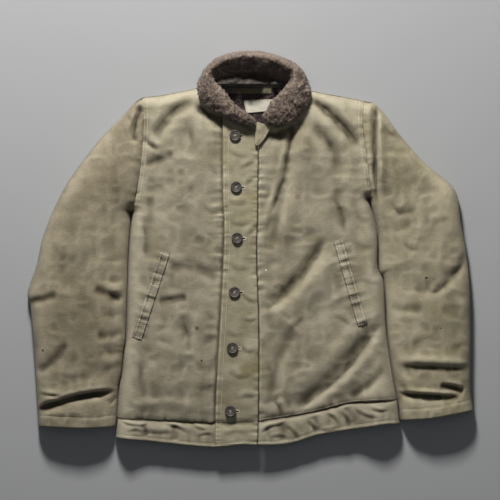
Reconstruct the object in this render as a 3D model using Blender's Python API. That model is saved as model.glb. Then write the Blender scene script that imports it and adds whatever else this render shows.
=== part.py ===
# Deck jacket laid flat on its back, front up, sleeves beside the body.
# X runs across the jacket, Y from the hem to the collar and Z up from the surface it lies on.
# Sizes and places are in millimetres and become metres when a mesh is written.

from collections import namedtuple
from math import cos, exp, hypot, pi, sin, sqrt

import bmesh
import bpy
from mathutils import Vector
from mathutils.bvhtree import BVHTree

MM = 0.001

# Cloth and gaps
CLOTH_WALL = 3.0
BAND_WALL = 3.5
CLOSED_EDGE_REACH = 0.6
LINING_WALL = 7.5
SEAM_GAP = 0.4
SIDE_GAP = 0.9
PLACKET_GAP = 0.8
LYING_GAP = 0.9
WELT_WALL = 2.5
TAPE_WALL = 1.5
LABEL_WALL = 0.9
TAB_WALL = 3.0

# Heights above the surface that the jacket lies on
SEAM_HEIGHT = 9.0
SIDE_HEIGHT = 17.0
BODY_CROWN = 11.0
SLEEVE_CROWN = 21.0
HEM_DROP = 7.0
SIDE_RADIUS = 24.0
CROWN_RADIUS = 85.0
UNDER_RADIUS = 10.0
PLACKET_RISE = 4.4
TAB_TIP_LIFT = 3.0
HEM_BACK_SHORTER = 2.0

# Buttons
BUTTON_RADIUS = 11.2
BUTTON_THICKNESS = 4.2
# Shares of the radius and of the thickness, from the middle of the underside round the rim to the dish
BUTTON_PROFILE = ((0, 0), (0.9, 0), (1, 0.25), (1, 0.75), (0.9, 1), (0.74, 0.7), (0, 0.62))
BUTTON_SIDES = 16
SEAT_SAMPLES = 12

# Outlines, each from the hem or cuff upwards unless its comment says otherwise
LEFT_SIDE_SEAM = ((-259, -328), (-256, -271), (-250, -240), (-246, -199), (-241, -160), (-237, -20), (-231, 72))
RIGHT_SIDE_SEAM = ((288, -292), (281, -255), (268, -166), (262, -66), (251, -35), (249, 33), (232, 98))
LEFT_ARMHOLE = ((-231, 72), (-222, 107), (-211, 177), (-207, 244), (-209, 298))
RIGHT_ARMHOLE = ((232, 98), (234, 117), (227, 176), (219, 240), (222, 291))
LEFT_OUTER_SLEEVE = ((-413, -343), (-419, -239), (-428, -120), (-434, -84), (-416, -28), (-401, 35),
                     (-361, 123), (-302, 205), (-242, 269), (-224, 289))
RIGHT_OUTER_SLEEVE = ((436, -312), (431, -257), (431, -100), (424, -15), (413, 48), (400, 117),
                      (345, 166), (294, 223), (260, 269), (240, 288))
LEFT_SHOULDER = ((-209, 298), (-174, 302), (-122, 312), (-90, 320))
RIGHT_SHOULDER = ((222, 291), (172, 301), (130, 309), (96, 318))
LEFT_NECKLINE = ((-90, 320), (-76, 300), (-62, 286), (-40, 270), (-10, 255))
RIGHT_NECKLINE = ((96, 318), (84, 298), (70, 277), (44, 252), (17, 244))
BACK_NECKLINE = ((-90, 320), (-45, 325), (0, 323), (50, 323), (96, 318))
HEM_SEAM = ((-259, -328), (-199, -331), (-142, -334), (-70, -337), (17, -333), (121, -316),
            (199, -297), (288, -292))
HEM_EDGE = ((-263, -365), (-199, -372), (-72, -384), (-20, -379), (68, -378), (137, -359),
            (199, -349), (261, -339), (294, -339))
LEFT_CUFF = ((-413, -343), (-312, -346), (-261, -342))
RIGHT_CUFF = ((293, -331), (350, -327), (436, -312))
PLACKET_EDGE = ((-68, -381), (-66, -279), (-54, -66), (-50, 43), (-53, 117), (-53, 264))
PLACKET_STITCHING = ((15, -378), (17, -292), (17, -134), (13, -15), (15, 70), (16, 162), (17, 243))
LEFT_FRONT_EDGE_X = -10.0
PLACKET_LEFT_X = -60
HEM_LEFT_X, HEM_RIGHT_X = -263, 294
SEAM_LEFT_X, SEAM_RIGHT_X = -259, 288
PLACKET_SEAM_X, PLACKET_HEM_X = 17, 15
PLACKET_HEM_Y, PLACKET_BAND_Y, PLACKET_TOP_Y = -378, -333, 243

# Each fold is a soft trough (height under 0) or ridge through three points of its panel
Fold = namedtuple("Fold", "x0 y0 x1 y1 x2 y2 width height")

FRONT_FOLDS = (
    Fold(118, 298, 160, 259, 214, 200, 10, -6.0),
    Fold(104, 284, 140, 244, 190, 196, 14, 3.0),
    Fold(120, 248, 167, 181, 172, 140, 14, -4.0),
    Fold(86, 250, 68, 146, 36, -25, 10, -5.0),
    Fold(104, 246, 88, 127, 62, 10, 18, 5.0),
    Fold(150, 30, 92, -62, 25, -124, 14, -5.0),
    Fold(163, 0, 110, -90, 40, -150, 18, 3.0),
    Fold(262, -130, 156, -248, 86, -312, 12, -5.5),
    Fold(246, -112, 137, -222, 66, -288, 18, 4.5),
    Fold(266, -230, 230, -262, 190, -290, 10, -3.5),
    Fold(92, -150, 51, -220, 41, -300, 12, -3.5),
    Fold(-104, 300, -150, 258, -190, 220, 12, -4.5),
    Fold(-205, 166, -175, 176, -145, 186, 9, -3.0),
    Fold(-199, 110, -194, 45, -199, -25, 16, -3.5),
    Fold(-162, -36, -113, -31, -58, -64, 12, -4.0),
    Fold(-180, -101, -150, -98, -120, -91, 9, -3.0),
    Fold(-120, 200, -105, 110, -112, 20, 26, 3.0),
    Fold(-235, -300, -170, -296, -90, -304, 12, 3.0),
    Fold(-150, -340, -148, -355, -146, -372, 8, -3.0),
    Fold(-208, -338, -206, -350, -203, -364, 8, -2.5),
    Fold(60, -334, 64, -350, 66, -372, 9, -3.0),
    Fold(124, -322, 128, -338, 132, -354, 9, -2.5),
    Fold(188, -304, 193, -322, 197, -342, 9, -3.0),
)
SLEEVE_FOLDS = (
    Fold(-213, 284, -220, 247, -224, 205, 8, -6.0),
    Fold(-416, -318, -353, -292, -256, -275, 8, -9.0),
    Fold(-414, -292, -345, -268, -260, -252, 14, 5.0),
    Fold(-432, -104, -405, -97, -372, -86, 8, -4.0),
    Fold(-305, -76, -275, -86, -244, -98, 9, -4.0),
    Fold(-420, -240, -384, -217, -352, -178, 10, -4.0),
    Fold(-246, -158, -270, -166, -300, -164, 9, -3.0),
    Fold(-390, 20, -340, 10, -270, 30, 22, 3.0),
    Fold(245, 288, 240, 224, 243, 112, 8, -9.0),
    Fold(262, 262, 256, 210, 262, 130, 16, 4.0),
    Fold(280, -215, 350, -212, 431, -221, 14, 5.0),
    Fold(366, -264, 395, -270, 418, -276, 8, -5.0),
    Fold(284, -279, 350, -290, 414, -284, 8, -8.0),
    Fold(424, -2, 383, -57, 316, -80, 16, -5.0),
    Fold(280, 238, 300, 215, 320, 190, 10, -3.5),
    Fold(270, -110, 300, -118, 340, -112, 10, -3.0),
)
ARMHOLE_DIP = 3.0
HEM_SEAM_DIP = 3.0
SEAM_DIP_WIDTH = 7.0

# Where the body gives way to the sleeves, measured out from the middle
BODY_HALF_WIDTH = 195
SLEEVE_HALF_WIDTH = 250
# Between these heights of the outline the body settles towards its hem
SETTLES_FROM_Y = -230
SETTLES_TO_Y = -370
# The right front falls from the placket's height to its own between these distances from it
PLACKET_SLOPE = (8, 75)
# Share of a fold's length over which each of its ends dies away
FOLD_TAPER = 0.22
FOLD_REACH = 2.5

# The collar's stations, from its left front tip round the back of the neck to its right front tip.
# The foot is where the stand is sewn on, and raised is how far the fall is lifted off the front.
Station = namedtuple("Station", "roll_x roll_y edge_x edge_y foot_x foot_y foot_z top raised")
COLLAR = (
    Station(10, 250, 5, 238, 12, 250, 44, 56, 5),
    Station(-8, 264, -20, 246, -6, 263, 38, 61, 5),
    Station(-32, 281, -49, 258, -31, 279, 35, 62, 3),
    Station(-48, 302, -78, 273, -47, 299, 32, 62, 1),
    Station(-64, 318, -95, 290, -64, 312, 24, 60, 0),
    Station(-76, 333, -103, 317, -72, 321, 12, 57, 0),
    Station(-72, 350, -94, 341, -64, 322, 6, 54, 0),
    Station(-50, 364, -68, 371, -46, 323, 5, 52, 0),
    Station(-18, 371, -24, 384, -16, 323, 5, 51, 0),
    Station(14, 371, 16, 385, 14, 323, 5, 51, 0),
    Station(50, 362, 60, 376, 46, 323, 5, 52, 0),
    Station(80, 348, 97, 354, 70, 322, 6, 54, 0),
    Station(84, 333, 114, 326, 78, 321, 12, 57, 0),
    Station(72, 318, 118, 302, 71, 312, 24, 60, 0),
    Station(57, 300, 111, 280, 56, 297, 32, 62, 1),
    Station(41, 283, 93, 256, 40, 280, 35, 62, 3),
    Station(31, 266, 70, 240, 30, 264, 38, 61, 5),
    Station(25, 257, 53, 235, 25, 257, 43, 57, 5),
)
COLLAR_FLOOR = 1.5
BACK_NECK_FLOOR = 4.2
COLLAR_CLEARANCE = 0.9
SHOULDER_CLEARANCE = 4.0
NECKLINE_MARGIN = 9.0
LINING_TOP = 11.5
# Outside the neckline's ends the collar's floor slopes down past the shoulders and the back neckline
NECK_END_MARGIN = 8
BACK_FLOOR_SLOPE = 0.3
BACK_FLOOR_LEVEL_FOR = 4
SHOULDER_FLOOR_SLOPE = 0.45
SHOULDER_FLOOR_RISE = 5
SHOULDER_REACH = (5, 45)

# Corners of the pieces inside the neck: lower left, lower right, upper left and upper right
LINING_CORNERS = ((-62, 236), (60, 232), (-66, 317), (70, 317))
TAPE_CORNERS = ((-47, 305), (42, 305), (-47, 317), (42, 317))
LABEL_CORNERS = ((-7, 267), (36, 271), (-12.5, 292), (49, 294))

# The throat tab, from its tip to its seam under the collar
TAB_TIP = ((9, 204), (13, 201), (19, 204))
TAB_SEAM = ((13, 249), (44, 238))
TAB_LEFT = ((9, 204), (9, 215), (11, 234), (13, 249))
TAB_RIGHT = ((19, 204), (29, 216), (36, 228), (44, 238))
TAB_CLEARANCE = 1.0
TAB_LIFTS_FROM_Y, TAB_LIFTS_TO_Y = 232, 203

# Pocket welts: top and bottom ends of each welt's outer and inner edges
Welt = namedtuple("Welt", "name top_x top_y bottom_x bottom_y width")
WELTS = (
    Welt("pocket_welt_left", -164, -3, -220, -173, 20),
    Welt("pocket_welt_right", 171, 20, 219, -147, 20),
)

Button = namedtuple("Button", "x y")
BUTTONS = (
    Button(-29, 222),
    Button(-27, 122),
    Button(-25, 23),
    Button(-30, -82),
    Button(-34, -190),
    Button(-38, -313),
)

Finish = namedtuple("Finish", "colour roughness")
FINISHES = {
    "cloth": Finish((0.30, 0.26, 0.17), 0.85),
    "pile": Finish((0.13, 0.10, 0.08), 0.95),
    "lining": Finish((0.11, 0.09, 0.09), 0.95),
    "label": Finish((0.72, 0.66, 0.50), 0.80),
    "button": Finish((0.10, 0.09, 0.08), 0.45),
}


def clear_scene():
    for item in list(bpy.data.objects):
        bpy.data.objects.remove(item, do_unlink=True)


# Lines and distances

def smooth(points, steps=6):
    """Points of a smooth curve through the given ones."""
    padded = (points[0],) + tuple(points) + (points[-1],)
    line = []
    for before, start, end, after in zip(padded, padded[1:], padded[2:], padded[3:]):
        for step in range(steps):
            t = step / steps
            line.append(tuple(blend_cubic(b, s, e, a, t) for b, s, e, a in zip(before, start, end, after)))
    line.append(tuple(points[-1]))
    return line


def blend_cubic(before, start, end, after, t):
    pull = (end - before) / 2
    leave = (after - start) / 2
    square = t * t
    cube = square * t
    return ((2 * cube - 3 * square + 1) * start + (cube - 2 * square + t) * pull
            + (3 * square - 2 * cube) * end + (cube - square) * leave)


class Line:
    """A smooth line read by its share of length."""

    def __init__(self, *runs, shift=(0, 0)):
        self.points = []
        for run in runs:
            for x, y in smooth(run):
                place = (x + shift[0], y + shift[1])
                if not self.points or hypot(place[0] - self.points[-1][0], place[1] - self.points[-1][1]) > 0.01:
                    self.points.append(place)
        self.lengths = [0.0]
        for (x0, y0), (x1, y1) in zip(self.points, self.points[1:]):
            self.lengths.append(self.lengths[-1] + hypot(x1 - x0, y1 - y0))

    def at(self, share):
        wanted = share * self.lengths[-1]
        for index in range(1, len(self.lengths)):
            if wanted <= self.lengths[index] or index == len(self.lengths) - 1:
                span = self.lengths[index] - self.lengths[index - 1]
                part = (wanted - self.lengths[index - 1]) / span
                x0, y0 = self.points[index - 1]
                x1, y1 = self.points[index]
                return (x0 + (x1 - x0) * part, y0 + (y1 - y0) * part)

    def distance(self, x, y):
        return nearest(self.points, x, y)[0]


def nearest(points, x, y):
    """Distance from a place to a line, and the share of the line's pieces passed there."""
    best = (1e9, 0.0)
    for index, ((x0, y0), (x1, y1)) in enumerate(zip(points, points[1:])):
        along_x, along_y = x1 - x0, y1 - y0
        part = ((x - x0) * along_x + (y - y0) * along_y) / (along_x ** 2 + along_y ** 2)
        part = min(1.0, max(0.0, part))
        gap = hypot(x - x0 - along_x * part, y - y0 - along_y * part)
        if gap < best[0]:
            best = (gap, (index + part) / (len(points) - 1))
    return best


LEFT_SLIT = Line(((-263, -365), (-259, -328)), LEFT_SIDE_SEAM)
RIGHT_SLIT = Line(((294, -339), (288, -292)), RIGHT_SIDE_SEAM)
LEFT_RIM = Line(LEFT_OUTER_SLEEVE, LEFT_OUTER_SLEEVE[-1:] + LEFT_SHOULDER)
RIGHT_RIM = Line(RIGHT_OUTER_SLEEVE, RIGHT_OUTER_SLEEVE[-1:] + RIGHT_SHOULDER)
ARMHOLES = (Line(LEFT_ARMHOLE), Line(RIGHT_ARMHOLE))
HEM_SEAM_LINE = Line(HEM_SEAM)
SLITS = (LEFT_SLIT, RIGHT_SLIT)
RIMS = (LEFT_RIM, RIGHT_RIM)
FOLD_LINES = [(fold, smooth(((fold.x0, fold.y0), (fold.x1, fold.y1), (fold.x2, fold.y2)), 4))
              for fold in FRONT_FOLDS + SLEEVE_FOLDS]


# Heights of the upper and the under layer

def ease(low, high, value):
    share = min(1.0, max(0.0, (value - low) / (high - low)))
    return share * share * (3 - 2 * share)


def lift(distance, radius):
    """Rise of a rounded edge, 0 at the edge and 1 from radius inwards."""
    short = max(0.0, 1.0 - distance / radius)
    return sqrt(max(0.0, 1.0 - short * short))


def edge_distance(x, y):
    to_slit = min(line.distance(x, y) for line in SLITS) - SIDE_GAP / 2
    to_rim = min(line.distance(x, y) for line in RIMS)
    return max(0.0, min(to_slit, to_rim))


def folds_at(x, y):
    total = 0.0
    for fold, line in FOLD_LINES:
        reach = FOLD_REACH * fold.width
        if min(fold.x0, fold.x1, fold.x2) - reach < x < max(fold.x0, fold.x1, fold.x2) + reach:
            gap, share = nearest(line, x, y)
            taper = ease(0, FOLD_TAPER, share) * ease(0, FOLD_TAPER, 1 - share)
            total += fold.height * exp(-(gap / fold.width) ** 2) * taper
    return total


def upper_height(x, y):
    """Outer height of the cloth that faces up."""
    edge = edge_distance(x, y)
    on_sleeve = ease(BODY_HALF_WIDTH, SLEEVE_HALF_WIDTH, abs(x))
    crown = BODY_CROWN + (SLEEVE_CROWN - BODY_CROWN) * on_sleeve
    low = HEM_DROP * ease(SETTLES_FROM_Y, SETTLES_TO_Y, y) * (1 - on_sleeve)
    height = SEAM_HEIGHT + SEAM_GAP / 2 + (SIDE_HEIGHT - low) * lift(edge, SIDE_RADIUS)
    height += crown * lift(edge, CROWN_RADIUS)
    dip = sum(ARMHOLE_DIP * exp(-(line.distance(x, y) / SEAM_DIP_WIDTH) ** 2) for line in ARMHOLES)
    dip += HEM_SEAM_DIP * exp(-(HEM_SEAM_LINE.distance(x, y) / SEAM_DIP_WIDTH) ** 2)
    return height + (folds_at(x, y) - dip) * lift(edge, SIDE_RADIUS)


def placket_stitching_x(y):
    points = PLACKET_STITCHING_LINE.points
    for (x0, y0), (x1, y1) in zip(points, points[1:]):
        if y0 <= y <= y1:
            return x0 + (x1 - x0) * (y - y0) / (y1 - y0)
    return points[0][0] if y < points[0][1] else points[-1][0]


PLACKET_STITCHING_LINE = Line(PLACKET_STITCHING)


def right_height(x, y):
    """Height of the right front, which meets the placket at the placket's own height."""
    beyond = max(0.0, x - placket_stitching_x(y))
    rise = PLACKET_RISE * (1 - ease(*PLACKET_SLOPE, beyond))
    return upper_height(x, y) + rise * lift(edge_distance(x, y), SIDE_RADIUS)


def placket_height(x, y):
    return upper_height(x, y) + PLACKET_RISE


def top_height(x, y):
    """Height of whatever cloth lies uppermost."""
    if x > placket_stitching_x(y):
        return right_height(x, y)
    if x > PLACKET_LEFT_X:
        return placket_height(x, y)
    return upper_height(x, y)


def under_height(x, y):
    """Outer, lower height of the cloth that lies on the surface."""
    return (SEAM_HEIGHT - SEAM_GAP / 2) * (1 - lift(edge_distance(x, y), UNDER_RADIUS))


# Panels

def shares(length, insets_start, insets_end, count):
    """Grid shares: close steps at the rounded ends and count even steps between them."""
    start = [inset / length for inset in insets_start]
    end = [1 - inset / length for inset in reversed(insets_end)]
    first = start[-1] if start else 0.0
    last = end[0] if end else 1.0
    middle = [first + (last - first) * step / count for step in range(count + 1)]
    return start[:-1] + middle + end[1:]


def patch(bottom, top, left, right, u, v):
    """A place on the surface spanned by four lines."""
    low, high = bottom.at(u), top.at(u)
    near, far = left.at(v), right.at(v)
    corners = (bottom.at(0), bottom.at(1), top.at(0), top.at(1))
    place = []
    for axis in range(2):
        mix = (1 - v) * low[axis] + v * high[axis] + (1 - u) * near[axis] + u * far[axis]
        mix -= (1 - u) * (1 - v) * corners[0][axis] + u * (1 - v) * corners[1][axis]
        mix -= (1 - u) * v * corners[2][axis] + u * v * corners[3][axis]
        place.append(mix)
    return place


def panel(name, outline, columns, rows, height, wall, finish, under=False):
    """A cloth panel: an outer grid, and the same grid moved in by the wall's thickness."""
    mesh = bmesh.new()
    bmesh.ops.create_grid(mesh, x_segments=len(columns) - 1, y_segments=len(rows) - 1, size=0.5)
    wall_layer = mesh.verts.layers.float_vector.new("wall")
    for vert in mesh.verts:
        u = columns[round((vert.co.x + 0.5) * (len(columns) - 1))]
        v = rows[round((vert.co.y + 0.5) * (len(rows) - 1))]
        x, y = patch(*outline, u, v)
        vert.co = (x, y, height(x, y))
    mesh.normal_update()
    side = -1.0 if under else 1.0
    for vert in mesh.verts:
        inward = vert.normal * -side
        if vert.is_boundary and edge_distance(vert.co.x, vert.co.y) < CLOSED_EDGE_REACH:
            inward = level_inward(vert)
        elif vert.is_boundary:
            inward = Vector((0, 0, -side))
        vert[wall_layer] = inward * wall
    thickened = bmesh.ops.extrude_face_region(mesh, geom=mesh.faces[:])
    for item in thickened["geom"]:
        if isinstance(item, bmesh.types.BMVert):
            item.co += Vector(item[wall_layer])
    return finished(name, mesh, finish)


def level_inward(vert):
    """Level direction from a closed edge into the panel, and between both sides at a corner."""
    inner = [line for line in vert.link_edges if not line.is_boundary]
    total = Vector()
    for line in inner or vert.link_edges:
        step = line.other_vert(vert).co - vert.co
        total += Vector((step.x, step.y, 0)).normalized()
    return total.normalized()


SURFACES = {}


def surface_height(name, x, y):
    """Height of a finished piece's upper side at a place."""
    return SURFACES[name].ray_cast(Vector((x, y, 500)), Vector((0, 0, -1)))[0].z


def finished(name, mesh, finish):
    bmesh.ops.recalc_face_normals(mesh, faces=mesh.faces[:])
    bmesh.ops.triangulate(mesh, faces=mesh.faces[:])
    SURFACES[name] = BVHTree.FromBMesh(mesh)
    bmesh.ops.scale(mesh, vec=(MM, MM, MM), verts=mesh.verts[:])
    data = bpy.data.meshes.new(name)
    mesh.to_mesh(data)
    mesh.free()
    data.shade_smooth()
    data.set_sharp_from_angle(angle=0.8)
    item = bpy.data.objects.new(name, data)
    data.materials.append(material(finish))
    bpy.context.collection.objects.link(item)
    return item


def material(finish):
    made = bpy.data.materials.get(finish)
    if made:
        return made
    made = bpy.data.materials.new(finish)
    made.use_nodes = True
    shader = made.node_tree.nodes["Principled BSDF"]
    shader.inputs["Base Color"].default_value = (*FINISHES[finish].colour, 1)
    shader.inputs["Roughness"].default_value = FINISHES[finish].roughness
    shader.inputs["Metallic"].default_value = 0.0
    return made


# Shares of the panels' grids, from each panel's rough width or length
SIDE_INSETS = (0, 2, 6, 12, 20, 32)
SLEEVE_INSETS = (0, 2, 6, 13, 24)
UNDER_INSETS = (0, 1.5, 4, 7, 11)
LEFT_FRONT_WIDTH, RIGHT_FRONT_WIDTH, FRONT_LENGTH = 235, 240, 600
BACK_WIDTH, BACK_LENGTH = 480, 620
SLEEVE_WIDTH = 185
BAND_DEPTH = 40
PLACKET_WIDTH, PLACKET_LENGTH = 68, 640
FRONT_COLUMNS_LEFT = shares(LEFT_FRONT_WIDTH, SIDE_INSETS, (), 13)
FRONT_COLUMNS_RIGHT = shares(RIGHT_FRONT_WIDTH, (), SIDE_INSETS, 14)
FRONT_ROWS = shares(FRONT_LENGTH, (), SIDE_INSETS, 22)
BAND_ROWS = shares(BAND_DEPTH, (), (), 3)
BACK_COLUMNS = shares(BACK_WIDTH, UNDER_INSETS, UNDER_INSETS, 6)
BACK_ROWS = shares(BACK_LENGTH, (), UNDER_INSETS, 12)
SLEEVE_COLUMNS = shares(SLEEVE_WIDTH, SLEEVE_INSETS, SLEEVE_INSETS, 6)
UNDER_SLEEVE_COLUMNS = shares(SLEEVE_WIDTH, UNDER_INSETS, UNDER_INSETS, 2)
PLACKET_COLUMNS = shares(PLACKET_WIDTH, (), (), 3)
PLACKET_ROWS = shares(PLACKET_LENGTH, (), (), 28)
LINING_COLUMNS, LINING_ROWS = shares(1, (), (), 6), shares(1, (), (), 4)
LABEL_COLUMNS, TAPE_ROWS = shares(1, (), (), 4), shares(1, (), (), 2)
TAB_COLUMNS, TAB_ROWS = shares(1, (), (), 4), shares(1, (), (), 7)
WELT_COLUMNS, WELT_ROWS = shares(1, (), (), 2), shares(1, (), (), 16)


def between(points, low, high, axis=0):
    """The part of a smooth line whose x (axis 0) or y (axis 1) lies between two values."""
    dense = smooth(points)
    ends = []
    for value in (low, high):
        for start, end in zip(dense, dense[1:]):
            if start[axis] <= value <= end[axis]:
                part = (value - start[axis]) / (end[axis] - start[axis])
                ends.append(tuple(s + (e - s) * part for s, e in zip(start, end)))
                break
    inner = [point for point in dense if ends[0][axis] + 1 < point[axis] < ends[1][axis] - 1]
    return (ends[0], *inner, ends[1])


def straight(start, end):
    return Line((start, end))


LEFT_SIDE_LINE = Line(LEFT_SIDE_SEAM, LEFT_ARMHOLE, shift=(SIDE_GAP / 2, 0))
RIGHT_SIDE_LINE = Line(RIGHT_SIDE_SEAM, RIGHT_ARMHOLE, shift=(-SIDE_GAP / 2, 0))


def build_fronts():
    half = SEAM_GAP / 2
    seam_y = between(HEM_SEAM, SEAM_LEFT_X, LEFT_FRONT_EDGE_X)[-1][1]
    left = (
        Line(between(HEM_SEAM, SEAM_LEFT_X, LEFT_FRONT_EDGE_X), shift=(0, half)),
        Line(LEFT_SHOULDER, LEFT_NECKLINE),
        LEFT_SIDE_LINE,
        straight((LEFT_FRONT_EDGE_X, seam_y + half), LEFT_NECKLINE[-1]),
    )
    panel("front_left", left, FRONT_COLUMNS_LEFT, FRONT_ROWS, upper_height, CLOTH_WALL, "cloth")
    right = (
        Line(between(HEM_SEAM, PLACKET_SEAM_X, SEAM_RIGHT_X), shift=(PLACKET_GAP / 2, half)),
        Line(RIGHT_NECKLINE[::-1], RIGHT_SHOULDER[::-1]),
        Line(between(PLACKET_STITCHING, PLACKET_BAND_Y, PLACKET_TOP_Y, axis=1), shift=(PLACKET_GAP / 2, half)),
        RIGHT_SIDE_LINE,
    )
    panel("front_right", right, FRONT_COLUMNS_RIGHT, FRONT_ROWS, right_height, CLOTH_WALL, "cloth")


def build_placket():
    outline = (
        straight(PLACKET_EDGE[0], PLACKET_STITCHING[0]),
        Line((PLACKET_EDGE[-1], LEFT_NECKLINE[-1], PLACKET_STITCHING[-1])),
        Line(PLACKET_EDGE),
        Line(PLACKET_STITCHING, shift=(-PLACKET_GAP / 2, 0)),
    )
    panel("placket", outline, PLACKET_COLUMNS, PLACKET_ROWS, placket_height, CLOTH_WALL, "cloth")


def build_hem_bands():
    half = SEAM_GAP / 2
    seam_y = between(HEM_SEAM, SEAM_LEFT_X, LEFT_FRONT_EDGE_X)[-1][1]
    edge_y = between(HEM_EDGE, HEM_LEFT_X, LEFT_FRONT_EDGE_X)[-1][1]
    left = (
        Line(between(HEM_EDGE, HEM_LEFT_X, LEFT_FRONT_EDGE_X)),
        Line(between(HEM_SEAM, SEAM_LEFT_X, LEFT_FRONT_EDGE_X), shift=(0, -half)),
        Line((HEM_EDGE[0], HEM_SEAM[0]), shift=(SIDE_GAP / 2, 0)),
        straight((LEFT_FRONT_EDGE_X, edge_y), (LEFT_FRONT_EDGE_X, seam_y - half)),
    )
    panel("hem_band_left", left, FRONT_COLUMNS_LEFT, BAND_ROWS, upper_height, BAND_WALL, "cloth")
    right = (
        Line(between(HEM_EDGE, PLACKET_HEM_X, HEM_RIGHT_X), shift=(PLACKET_GAP / 2, 0)),
        Line(between(HEM_SEAM, PLACKET_SEAM_X, SEAM_RIGHT_X), shift=(PLACKET_GAP / 2, -half)),
        Line(between(PLACKET_STITCHING, PLACKET_HEM_Y, PLACKET_BAND_Y, axis=1), shift=(PLACKET_GAP / 2, -half)),
        Line((HEM_EDGE[-1], HEM_SEAM[-1]), shift=(-SIDE_GAP / 2, 0)),
    )
    panel("hem_band_right", right, FRONT_COLUMNS_RIGHT, BAND_ROWS, right_height, BAND_WALL, "cloth")
    back = (
        Line(HEM_EDGE, shift=(0, HEM_BACK_SHORTER)),
        Line(HEM_SEAM, shift=(0, -half)),
        Line((HEM_EDGE[0], HEM_SEAM[0]), shift=(SIDE_GAP / 2, 0)),
        Line((HEM_EDGE[-1], HEM_SEAM[-1]), shift=(-SIDE_GAP / 2, 0)),
    )
    panel("hem_band_back", back, BACK_COLUMNS, BAND_ROWS, under_height, BAND_WALL, "cloth", under=True)


def build_back():
    outline = (
        Line(HEM_SEAM, shift=(0, SEAM_GAP / 2)),
        Line(LEFT_SHOULDER, BACK_NECKLINE, RIGHT_SHOULDER[::-1]),
        LEFT_SIDE_LINE,
        RIGHT_SIDE_LINE,
    )
    panel("back", outline, BACK_COLUMNS, BACK_ROWS, under_height, CLOTH_WALL, "cloth", under=True)


def build_sleeves():
    left = (
        Line(LEFT_CUFF),
        Line((LEFT_OUTER_SLEEVE[-1], LEFT_ARMHOLE[-1]), shift=(-SIDE_GAP / 2, 0)),
        Line(LEFT_OUTER_SLEEVE),
        Line(LEFT_CUFF[-1:] + LEFT_SIDE_SEAM, LEFT_ARMHOLE, shift=(-SIDE_GAP / 2, 0)),
    )
    right = (
        Line(RIGHT_CUFF),
        Line((RIGHT_ARMHOLE[-1], RIGHT_OUTER_SLEEVE[-1]), shift=(SIDE_GAP / 2, 0)),
        Line(RIGHT_CUFF[:1] + RIGHT_SIDE_SEAM, RIGHT_ARMHOLE, shift=(SIDE_GAP / 2, 0)),
        Line(RIGHT_OUTER_SLEEVE),
    )
    for side, outline, inner in (("left", left, left[3]), ("right", right, right[2])):
        panel(f"sleeve_top_{side}", outline, SLEEVE_COLUMNS, sleeve_rows(FRONT_ROWS, inner),
              upper_height, CLOTH_WALL, "cloth")
        panel(f"sleeve_under_{side}", outline, UNDER_SLEEVE_COLUMNS, sleeve_rows(BACK_ROWS, inner),
              under_height, CLOTH_WALL, "cloth", under=True)


def sleeve_rows(body_rows, inner):
    """Rows of a sleeve that meet the body's rows along the side seam and the armhole."""
    seam_line = LEFT_SIDE_LINE if inner.points[0][0] < 0 else RIGHT_SIDE_LINE
    extra = inner.lengths[-1] - seam_line.lengths[-1]
    return [0.0] + [(extra + share * seam_line.lengths[-1]) / inner.lengths[-1] for share in body_rows]


# Collar, neck lining, tape, label and tab

NECKLINES = (Line(LEFT_NECKLINE), Line(RIGHT_NECKLINE))
NECK_HOLE = smooth(LEFT_NECKLINE) + smooth(RIGHT_NECKLINE)[::-1]
BACK_TOP_EDGE = LEFT_SHOULDER + BACK_NECKLINE[1:-1] + RIGHT_SHOULDER[::-1]


def in_neck_hole(x, y):
    crossings = 0
    for (x0, y0), (x1, y1) in zip(NECK_HOLE, NECK_HOLE[1:] + NECK_HOLE[:1]):
        if (y0 > y) != (y1 > y) and x < x0 + (x1 - x0) * (y - y0) / (y1 - y0):
            crossings += 1
    return crossings % 2 == 1


def beyond_top_edge(x, y):
    """How far a place lies past the shoulders and the back neckline, under 0 inside."""
    for (x0, y0), (x1, y1) in zip(BACK_TOP_EDGE, BACK_TOP_EDGE[1:]):
        if x0 <= x <= x1:
            return y - y0 - (y1 - y0) * (x - x0) / (x1 - x0)
    return -1.0


def collar_floor(x, y):
    """The lowest that the collar may reach at a place."""
    past = beyond_top_edge(x, y)
    if past > 0:
        if LEFT_NECKLINE[0][0] + NECK_END_MARGIN < x < RIGHT_NECKLINE[0][0] - NECK_END_MARGIN:
            sloping = max(0.0, past - BACK_FLOOR_LEVEL_FOR)
            return max(COLLAR_FLOOR, BACK_NECK_FLOOR - BACK_FLOOR_SLOPE * sloping)
        return max(COLLAR_FLOOR, SEAM_HEIGHT + SHOULDER_FLOOR_RISE - SHOULDER_FLOOR_SLOPE * past)
    beside_front = min(line.distance(x, y) for line in NECKLINES) < NECKLINE_MARGIN
    if in_neck_hole(x, y) and not beside_front:
        return BACK_NECK_FLOOR
    near_shoulder = 1 - ease(*SHOULDER_REACH, edge_distance(x, y))
    return top_height(x, y) + COLLAR_CLEARANCE + SHOULDER_CLEARANCE * near_shoulder


def mix(start, end, share):
    return tuple(s + (e - s) * share for s, e in zip(start, end))


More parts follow.
